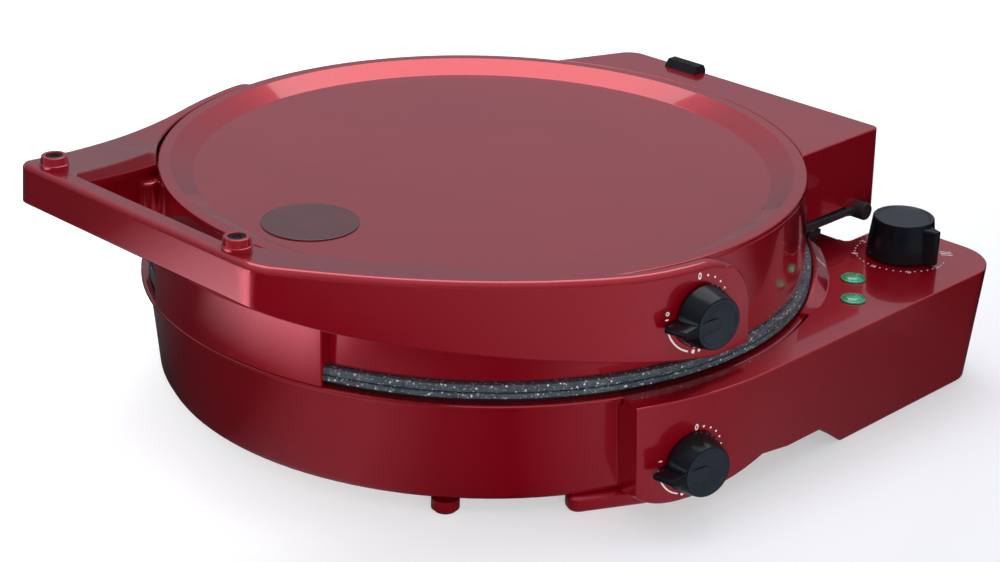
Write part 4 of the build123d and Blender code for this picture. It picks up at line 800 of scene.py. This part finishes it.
def arc_line(radius, start, end, stroke):
    """A line along an arc about the middle; the spin runs clockwise from the larger angle."""
    rest()
    bpy.ops.mesh.primitive_plane_add(size=0.001, location=(0, 0, 0))
    obj = bpy.context.object
    bpy.ops.object.mode_set(mode="EDIT")
    bpy.ops.mesh.select_mode(type="VERT")
    bpy.ops.mesh.select_all(action="SELECT")
    bpy.ops.mesh.merge(type="CENTER")
    bpy.ops.transform.translate(value=((radius - stroke / 2) / 1000, 0, 0))
    bpy.ops.mesh.extrude_region_move(TRANSFORM_OT_translate={"value": (stroke / 1000, 0, 0)})
    bpy.ops.mesh.select_all(action="SELECT")
    bpy.ops.mesh.spin(steps=24, angle=math.radians(abs(end - start)), center=(0, 0, 0), axis=(0, 0, 1))
    rest()
    obj.rotation_euler = (0, 0, math.radians(max(start, end)))
    settle(obj)
    return obj


def clock(radius, degrees):
    """A place on a dial whose x points up, clockwise from its top."""
    turn = math.radians(degrees)
    return radius * math.cos(turn), -radius * math.sin(turn)


def lay_print(obj, shell, body):
    """Lays flat marks on a shell, where one is given, as a thin coat of paint that rides on a body."""
    pick(obj)
    if shell is not None:
        wrap = obj.modifiers.new("lay on the shell", "SHRINKWRAP")
        wrap.target = shell
        wrap.wrap_method = "NEAREST_SURFACEPOINT"
        wrap.wrap_mode = "ABOVE_SURFACE"
        wrap.offset = PRINT_LIFT
    coat = obj.modifiers.new("coat", "SOLIDIFY")
    coat.thickness = PRINT_THICKNESS
    coat.offset = -1.0
    apply_all(obj)
    obj.data.materials.clear()
    obj.data.materials.append(MATERIALS["print_white"])
    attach(obj, body)


class PIZZA_OT_marks(bpy.types.Operator):
    """Prints the marks round the three dials"""
    bl_idname = "pizza.marks"
    bl_label = "Dial Marks"

    def execute(self, context):
        sizes = context.scene.pizza_mark
        small, stroke = sizes.dot * 1000, sizes.stroke * 1000
        plans = (
            ("upper", "lid", "lid_moulding", 19.0, (0, 199, 252, 281, 272), (0.8, 0.8)),
            ("lower", "base", "base_moulding", 18.4, (2, 198, 250, 262, 281), (-0.6, -0.4)),
        )
        for level, body, shell, radius, (zero, start, end, ring, tick), (left, higher) in plans:
            x, y = clock(radius, zero)
            marks = [loop(x, y, 1.8, 1.0, 0.55)]
            for turn in range(16, 165, 15):
                marks.append(dot(*clock(radius, turn), small))
            marks.append(dot(*clock(radius, 178), small * 1.3))
            marks.append(dot(*clock(radius, 189), small * 1.8))
            marks.append(arc_line(radius, -start, -end, stroke))
            marks.append(loop(*clock(radius, ring), 1.05, 1.05, 0.5))
            x, y = clock(radius, tick)
            marks.append(loop(x, y, 0.35, 1.1, 0.3))
            flat = join(level + "_dial_marks", *marks)
            settle(flat)
            spot, out = knob_joint(level + "_knob_turn")
            side = Vector((out.y, -out.x, 0)) * left / 1000
            stand(flat, spot - out * 0.0005 + side + Vector((0, 0, higher / 1000)), out, (0, 0, 1))
            lay_print(flat, bpy.data.objects[shell], body)
        marks = []
        for turn in range(0, 360, 9):
            if turn % 45 and not 20 < turn < 75:
                x, y = TIMER_DOTS * math.cos(math.radians(turn)), TIMER_DOTS * math.sin(math.radians(turn))
                marks.append(dot(x, y, 0.42))
        for minutes in range(5, 31, 5):
            turn = math.radians(45 - minutes * 9)
            rest()
            reach = TIMER_FIGURES / 1000
            bpy.ops.object.text_add(location=(reach * math.cos(turn), reach * math.sin(turn), 0))
            words = bpy.context.object
            words.data.body = str(minutes)
            words.data.size = 0.0034
            words.data.align_x = "CENTER"
            words.data.align_y = "CENTER"
            bpy.ops.object.convert(target="MESH")
            marks.append(bpy.context.object)
        for shift in (-2.2, 0.0, 2.2):
            marks.append(wave(shift, stroke * 0.55))
        flat = join("timer_dial_marks", *marks)
        settle(flat)
        spot, _ = knob_joint("timer_knob_turn")
        stand(flat, Vector((spot.x, spot.y, spot.z + 0.00007)))
        lay_print(flat, None, "base")
        return {"FINISHED"}


def wave(offset, stroke):
    """A short wavy stroke at the rest mark of the timer dial."""
    rest()
    bpy.ops.mesh.primitive_grid_add(x_subdivisions=9, y_subdivisions=1, size=1, location=(0, 0, 0))
    obj = bpy.context.object
    obj.scale = (WAVE_LENGTH / 1000, stroke / 1000, 1)
    settle(obj)
    for turn, side in ((1, 1), (2, 1), (3, 1), (6, -1), (7, -1), (8, -1)):
        here = -WAVE_LENGTH / 2 + turn * WAVE_LENGTH / 9
        choose(obj, lambda x, y, z: abs(x - here) < 0.2, "VERT")
        bpy.ops.transform.translate(value=(0, side * WAVE_SWING / 1000, 0))
    rest()
    obj.location = (TIMER_WAVES / 1000, offset / 1000, 0)
    settle(obj)
    obj.rotation_euler = (0, 0, math.radians(WAVE_TURN))
    settle(obj)
    return obj


def slim_hub(obj):
    """Makes the hub of a hinge arm smaller about its axis."""
    centre = (0, HINGE_SPOT[0] / 1000 + SHIFT.y, HINGE_SPOT[1] / 1000)

    def near(x, y, z):
        return math.hypot(y - SHIFT.y * 1000 - HINGE_SPOT[0], z - HINGE_SPOT[1]) < HUB_REACH

    choose(obj, near, "VERT")
    bpy.ops.transform.resize(value=(1, HUB_SHARE, HUB_SHARE), center_override=centre)
    rest()


def make_hinge_pieces(red):
    """The slimmer hinge arm with its cap, and the web of the hinge box behind its hub."""
    arm = eased_copy("hinge_arm_right", "right_hinge_arm", 0.0004, shape=slim_hub)
    reach = max(v.co.x for v in arm.data.vertices)
    cap = turned("hub_cap", rounded(
        (0, -0.6, 0), (HUB_RADIUS, -0.6, 0), (HUB_RADIUS, 0.5, 0.3), (0, 0.7, 0)), steps=40)
    smooth(cap, SMOOTH_ANGLE)
    stand(cap, (reach, HINGE_SPOT[0] / 1000 + SHIFT.y, HINGE_SPOT[1] / 1000), (1, 0, 0), (0, 0, 1))
    arm = join("right_hinge_arm", arm, cap)
    dress(arm, MATERIALS["black_plastic"], "black_plastic", "lid", "hinge_arm_right")
    moulding = bpy.data.objects["lid_moulding"]
    wall = max(v.co.x for v in moulding.data.vertices
               if v.co.y > 0.17 + SHIFT.y and v.co.z < 0.090) * 1000 - SHIFT.x * 1000
    lobe = block("hinge_lobe", (wall - 3.0, 170.5, 78.6), (wall - 0.7, 189.5, 89.0))
    stand(lobe, dish(0, 0, 0))
    dress(lobe, red, "glossy_red_shell", "lid", "lid_shell")


def make_upstand(red):
    """The upstand of the deck along the bowl rim, rising from its front end."""
    upstand = turned("deck_upstand", rounded(
        (176.9, 62.5, 0), (176.9, 71.6, 0.7), (178.9, 71.6, 1.6), (185.5, DECK_TOP, 3.0), (190.0, 65.6, 0),
        (190.0, 62.5, 0), (176.9, 62.5, 0)),
        steps=UPSTAND_STEPS, arc=UPSTAND_SPAN, start=UPSTAND_START + UPSTAND_SPAN)
    for step in range(UPSTAND_STEPS + 1):
        gone = UPSTAND_SPAN * step / UPSTAND_STEPS
        turn = UPSTAND_START + gone
        share = min(1.0, gone / UPSTAND_EASE)
        share = share * share * (3 - 2 * share)

        def here(x, y, z):
            return abs(math.degrees(math.atan2(y, x)) - turn) < 0.5 and z > DECK_TOP + 0.05

        choose(upstand, here, "VERT")
        bpy.ops.transform.resize(value=(1, 1, max(share, 0.02)), center_override=(0, 0, DECK_TOP / 1000))
    rest()
    stand(upstand, dish(0, 0, 0))
    smooth(upstand, 50)
    dress(upstand, red, "glossy_red_shell", "base", "base_shell")


def lift_rim(obj):
    """Makes the rim of the lower plate thinner from below, so that the black ring of painted shade shows
    under it.
    """
    def low_edge(x, y, z):
        return math.hypot(x - SHIFT.x * 1000, y - SHIFT.y * 1000) > 174.5 and z < 65.2

    choose(obj, low_edge, "VERT")
    bpy.ops.transform.translate(value=(0, 0, 0.0016))
    rest()


def make_lenses():
    """The two lamps of the control arm."""
    lens = turned("front_lamp_lens", rounded(
        (0, 60.2, 0), (5.0, 60.2, 0.3), (5.0, 66.1, 0), (6.6, 66.1, 0.2), (6.6, 66.9, 0.35), (5.7, 67.1, 0.2),
        (5.4, 66.9, 0.2), (4.0, 68.0, 4.0), (0, 68.4, 0), parts=5), steps=48)
    smooth(lens, SMOOTH_ANGLE)
    rear = twin(lens, "rear_lamp_lens")
    for obj, (x, y), node in ((lens, LAMP_FRONT, "lamp_lens_front"), (rear, LAMP_REAR, "lamp_lens_rear")):
        stand(obj, dish(x, y, 0))
        dress(obj, MATERIALS["green_lens"], "green_lens", "base", node)


def make_lid_feet(red):
    """The collars and rubbers of the two posts that the opened lid stands on."""
    collars, rubbers = [], []
    for foot_x in LID_FEET:
        collar = turned("collar", rounded(
            (0, 140.0, 0), (7.0, 140.0, 0.3), (7.0, 151.7, 0), (7.35, 151.9, 0.1), (7.35, 152.5, 0.3),
            (6.8, 152.8, 0.3), (6.15, 156.45, 0.6), (4.1, 156.45, 0.2), (4.0, 154.6, 0),
            (0, 154.6, 0)), steps=48)
        stand(collar, dish(foot_x, LID_FEET_FRONT, 0))
        collars.append(collar)
        rubber = turned("rubber", rounded(
            (0, 153.0, 0), (3.9, 153.0, 0), (3.9, 156.1, 0.4), (2.6, 156.1, 0.3), (2.0, 155.2, 0.4),
            (0, 155.1, 0)), steps=40)
        stand(rubber, dish(foot_x, LID_FEET_FRONT, 0))
        rubbers.append(rubber)
    collar = join("lid_foot_collar_pair", *collars)
    smooth(collar, SMOOTH_ANGLE)
    dress(collar, red, "glossy_red_shell", "lid", "lid_foot_collars")
    rubber = join("lid_foot_rubber_pair", *rubbers)
    smooth(rubber, SMOOTH_ANGLE)
    dress(rubber, MATERIALS["black_rubber"], "black_rubber", "lid", "lid_foot_rubbers")


def make_plates():
    """The two cast plates with their rims, and a black ring under the lower one, painted shade for the gap
    there, which leaves the hinge free.
    """
    stone = MATERIALS["stone_coating"]
    upper = eased_copy("upper_plate", "upper_cast_plate", 0.0005)
    dress(upper, stone, "stone_coating", "lid", "upper_plate")
    lower = eased_copy("lower_plate", "lower_cast_plate", 0.0005, shape=lift_rim)
    dress(lower, stone, "stone_coating", "base", "lower_plate")
    # Painted shade: a black ring fills the gap under the lower plate's rim, where there is only shadow.
    shade_ring = turned("rim_seal", rounded(
        (168.0, 64.05, 0), (174.2, 64.05, 0.3), (174.2, 66.3, 0.3), (168.0, 66.3, 0), (168.0, 64.05, 0)),
        steps=120, arc=270.0, start=45.0)
    stand(shade_ring, dish(0, 0, 0))
    smooth(shade_ring, SMOOTH_ANGLE)
    dress(shade_ring, MATERIALS["black_rubber"], "black_rubber", "base")


def make_boss_and_plate(red):
    """The screw boss inside the handle frame and the blank plate on the disc."""
    boss = turned("frame_boss", rounded(
        (0, 100.0, 0), (8.2, 100.0, 0.3), (7.6, 117.6, 1.4), (0, 117.6, 0)), steps=48)
    stand(boss, dish(*FRAME_BOSS, 0))
    smooth(boss, SMOOTH_ANGLE)
    dress(boss, red, "glossy_red_shell", "lid", "lid_shell")
    plate = turned("blank_plate", rounded(
        (0, 116.0, 0), (24.5, 116.0, 0), (24.5, 116.72, 0.25), (23.6, 116.8, 0.1), (23.5, 116.7, 0.1),
        (0, 116.7, 0)), steps=96)
    stand(plate, dish(*BLANK_PLATE, 0))
    smooth(plate, SMOOTH_ANGLE)
    dress(plate, MATERIALS["badge_metal"], "badge_metal", "lid", "badge_plate")


class PIZZA_OT_fittings(bpy.types.Operator):
    """Makes the lamps, the lid feet, the plates, the hinge arm, the deck's upstand and the blank plate"""
    bl_idname = "pizza.fittings"
    bl_label = "Lamps, Feet And Plates"

    def execute(self, context):
        red = MATERIALS["glossy_red_shell"]
        make_lenses()
        make_lid_feet(red)
        make_plates()
        make_hinge_pieces(red)
        make_upstand(red)
        make_boss_and_plate(red)
        return {"FINISHED"}


class PIZZA_OT_stage(bpy.types.Operator):
    """Adds the floor, the lamps, the background and the camera"""
    bl_idname = "pizza.stage"
    bl_label = "Stage"

    def execute(self, context):
        make_floor()
        make_reflector()
        make_world()
        make_lamps(context.scene.pizza_stage)
        make_camera(context.scene.pizza_stage)
        return {"FINISHED"}


def make_floor():
    """A wide pale floor that keeps the shadow and, where it is seen or reflected, glows with painted light
    that grows brighter to the left.
    """
    rest()
    bpy.ops.mesh.primitive_plane_add(size=9.0, location=(0, 0, 0))
    floor = bpy.context.object
    floor.name = "floor"
    m = paint("white_floor")
    path = add(m, "LightPath")
    seen = add(m, "Math", i0=path.outputs["Is Camera Ray"], i1=path.outputs["Is Glossy Ray"])
    seen.operation = "MAXIMUM"
    clear = add(m, "Math", i0=seen.outputs[0], i1=path.outputs["Is Transmission Ray"])
    clear.operation = "MAXIMUM"
    place = add(m, "TexCoord")
    # Painted light: the floor's glow is graded from dim at the right to bright at the left, as if more light
    # fell from the left.
    leftward_painted_light = add(m, "VectorMath", i0=place.outputs["Object"], i1=(-0.9, -0.3, 0.0))
    leftward_painted_light.operation = "DOT_PRODUCT"
    level = mapped(m, leftward_painted_light.outputs["Value"], -0.25, 0.25, 0.32, 0.82)
    glow = add(m, "Math", i0=clear.outputs[0], i1=level.outputs["Result"])
    glow.operation = "MULTIPLY"
    shader = add(m, "BsdfPrincipled", Base_Color=grey(0.62), Roughness=0.9, Emission_Color=grey(1.0),
                 Emission_Strength=glow.outputs[0])
    shader.inputs["Specular IOR Level"].default_value = 0.0
    finish(m, shader)
    floor.data.materials.append(m)


def make_reflector():
    """A card on the floor that is seen only in reflections, with the bright and dark fields of a studio."""
    rest()
    bpy.ops.mesh.primitive_plane_add(size=5.0, location=(0, 0, 0.0006))
    card = bpy.context.object
    card.name = "reflection_card"
    settle(card)
    m = paint("reflection_fields")
    place = add(m, "TexCoord")
    centred = add(m, "Mapping", Vector=place.outputs["Object"])
    centred.inputs["Location"].default_value = (-SHIFT.x, -SHIFT.y, 0)
    around = add(m, "TexGradient", Vector=centred.outputs["Vector"])
    around.gradient_type = "RADIAL"
    length = add(m, "VectorMath", i0=centred.outputs["Vector"])
    length.operation = "LENGTH"
    fields = []
    for stops in (CARD_NEAR, CARD_FAR):
        fields.append(ramp(m, around.outputs["Fac"], *[
            (turn / 360 + 0.5, cool(level / CARD_PEAK)) for turn, level in stops]))
    share = mapped(m, length.outputs["Value"], 0.30, 0.40, 0.0, 1.0)
    mix = add(m, "Mix")
    mix.data_type = "RGBA"
    feed(m, mix, i0=share.outputs["Result"], i6=fields[0].outputs["Color"], i7=fields[1].outputs["Color"])
    finish(m, add(m, "Emission", Color=mix.outputs[2], Strength=CARD_PEAK))
    card.data.materials.append(m)
    card.visible_camera = False
    card.visible_diffuse = False
    card.visible_shadow = False
    card.visible_transmission = False
    card.visible_volume_scatter = False


def make_world():
    """White to the camera, a grey room to everything else."""
    world = bpy.data.worlds.new("studio")
    bpy.context.scene.world = world
    world.use_nodes = True
    tree = world.node_tree
    tree.nodes.clear()
    path = add(world, "LightPath")
    place = add(world, "TexCoord")
    split = add(world, "SeparateXYZ", Vector=place.outputs["Generated"])
    height = ramp(world, split.outputs["Z"],
                  (0.0, cool(0.16)), (0.39, cool(0.36)), (0.75, cool(0.60)), (1.0, cool(0.75)))
    room = add(world, "Background", Color=height.outputs["Color"], Strength=1.0)
    white = add(world, "Background", Color=grey(1.0), Strength=1.0)
    mix = add(world, "MixShader", Fac=path.outputs["Is Camera Ray"])
    tree.links.new(room.outputs[0], mix.inputs[1])
    tree.links.new(white.outputs[0], mix.inputs[2])
    out = tree.nodes.new("ShaderNodeOutputWorld")
    tree.links.new(mix.outputs[0], out.inputs["Surface"])


def soft_box(name, spot, size, power, aim=LAMP_AIM):
    """An area lamp at a spot, turned to an aim point."""
    data = bpy.data.lights.new(name, "AREA")
    data.shape = "RECTANGLE"
    data.size, data.size_y = size
    data.energy = power
    lamp = bpy.data.objects.new(name, data)
    bpy.context.scene.collection.objects.link(lamp)
    lamp.location = spot
    lamp.rotation_euler = (Vector(aim) - Vector(spot)).to_track_quat("-Z", "Y").to_euler()
    return lamp


def make_lamps(sizes):
    """A soft box above, and a fill at the same place and two lamps that leave no reflections."""
    soft_box("top_box", TOP_SPOT, TOP_SIZE, sizes.top_light * TOP_GLOSSY)
    fills = (
        soft_box("top_fill", TOP_SPOT, TOP_SIZE, sizes.top_light * (1 - TOP_GLOSSY)),
        soft_box("right_box", (1.6, 0.3, 0.7), (0.9, 0.9), sizes.right_light),
        soft_box("front_box", (1.45, -1.05, 0.30), (0.8, 0.45), sizes.front_light, aim=(0, 0, 0.08)),
    )
    for lamp in fills:
        lamp.visible_glossy = False


def make_camera(sizes):
    """The camera of the picture."""
    data = bpy.data.cameras.new("picture_camera")
    data.sensor_fit = "HORIZONTAL"
    data.sensor_width = 36.0
    data.lens = sizes.lens
    camera = bpy.data.objects.new("picture_camera", data)
    bpy.context.scene.collection.objects.link(camera)
    look = Vector(CAMERA_AIM) - Vector(CAMERA_SPOT)
    turn = look.to_track_quat("-Z", "Y") @ Quaternion((0, 0, 1), math.radians(CAMERA_ROLL))
    camera.location = CAMERA_SPOT
    camera.rotation_euler = turn.to_euler()
    bpy.context.scene.camera = camera
    bpy.context.scene.view_settings.view_transform = "Standard"


class PIZZA_PT_panel(bpy.types.Panel):
    """Lists the steps in the sidebar"""
    bl_label = "Pizza Maker"
    bl_idname = "PIZZA_PT_panel"
    bl_space_type = "VIEW_3D"
    bl_region_type = "UI"
    bl_category = "Pizza Maker"

    def draw(self, context):
        for name, _ in GROUPS:
            group = getattr(context.scene, name)
            for key in group.bl_rna.properties.keys():
                if key not in {"rna_type", "name"}:
                    self.layout.prop(group, key)
        for step in STEPS:
            self.layout.operator(step.bl_idname)


STEPS = (PIZZA_OT_finishes, PIZZA_OT_lid_shell, PIZZA_OT_base_shell, PIZZA_OT_knobs, PIZZA_OT_marks,
         PIZZA_OT_fittings, PIZZA_OT_stage)
GROUPS = (("pizza_shell", ShellSizes), ("pizza_knob", KnobSizes), ("pizza_mark", MarkSizes),
          ("pizza_stage", StageSizes))


def register():
    """Registers the groups, operators and panel."""
    for name, group in GROUPS:
        bpy.utils.register_class(group)
        setattr(bpy.types.Scene, name, bpy.props.PointerProperty(type=group))
    for item in (*STEPS, PIZZA_PT_panel):
        bpy.utils.register_class(item)


def unregister():
    """Takes back what register did."""
    for item in reversed((*STEPS, PIZZA_PT_panel)):
        bpy.utils.unregister_class(item)
    for name, group in reversed(GROUPS):
        delattr(bpy.types.Scene, name)
        bpy.utils.unregister_class(group)


def main():
    """Runs every step in order."""
    register()
    for step in STEPS:
        group, name = step.bl_idname.split(".")
        getattr(getattr(bpy.ops, group), name)()
    rest()


if __name__ == "__main__":
    main()
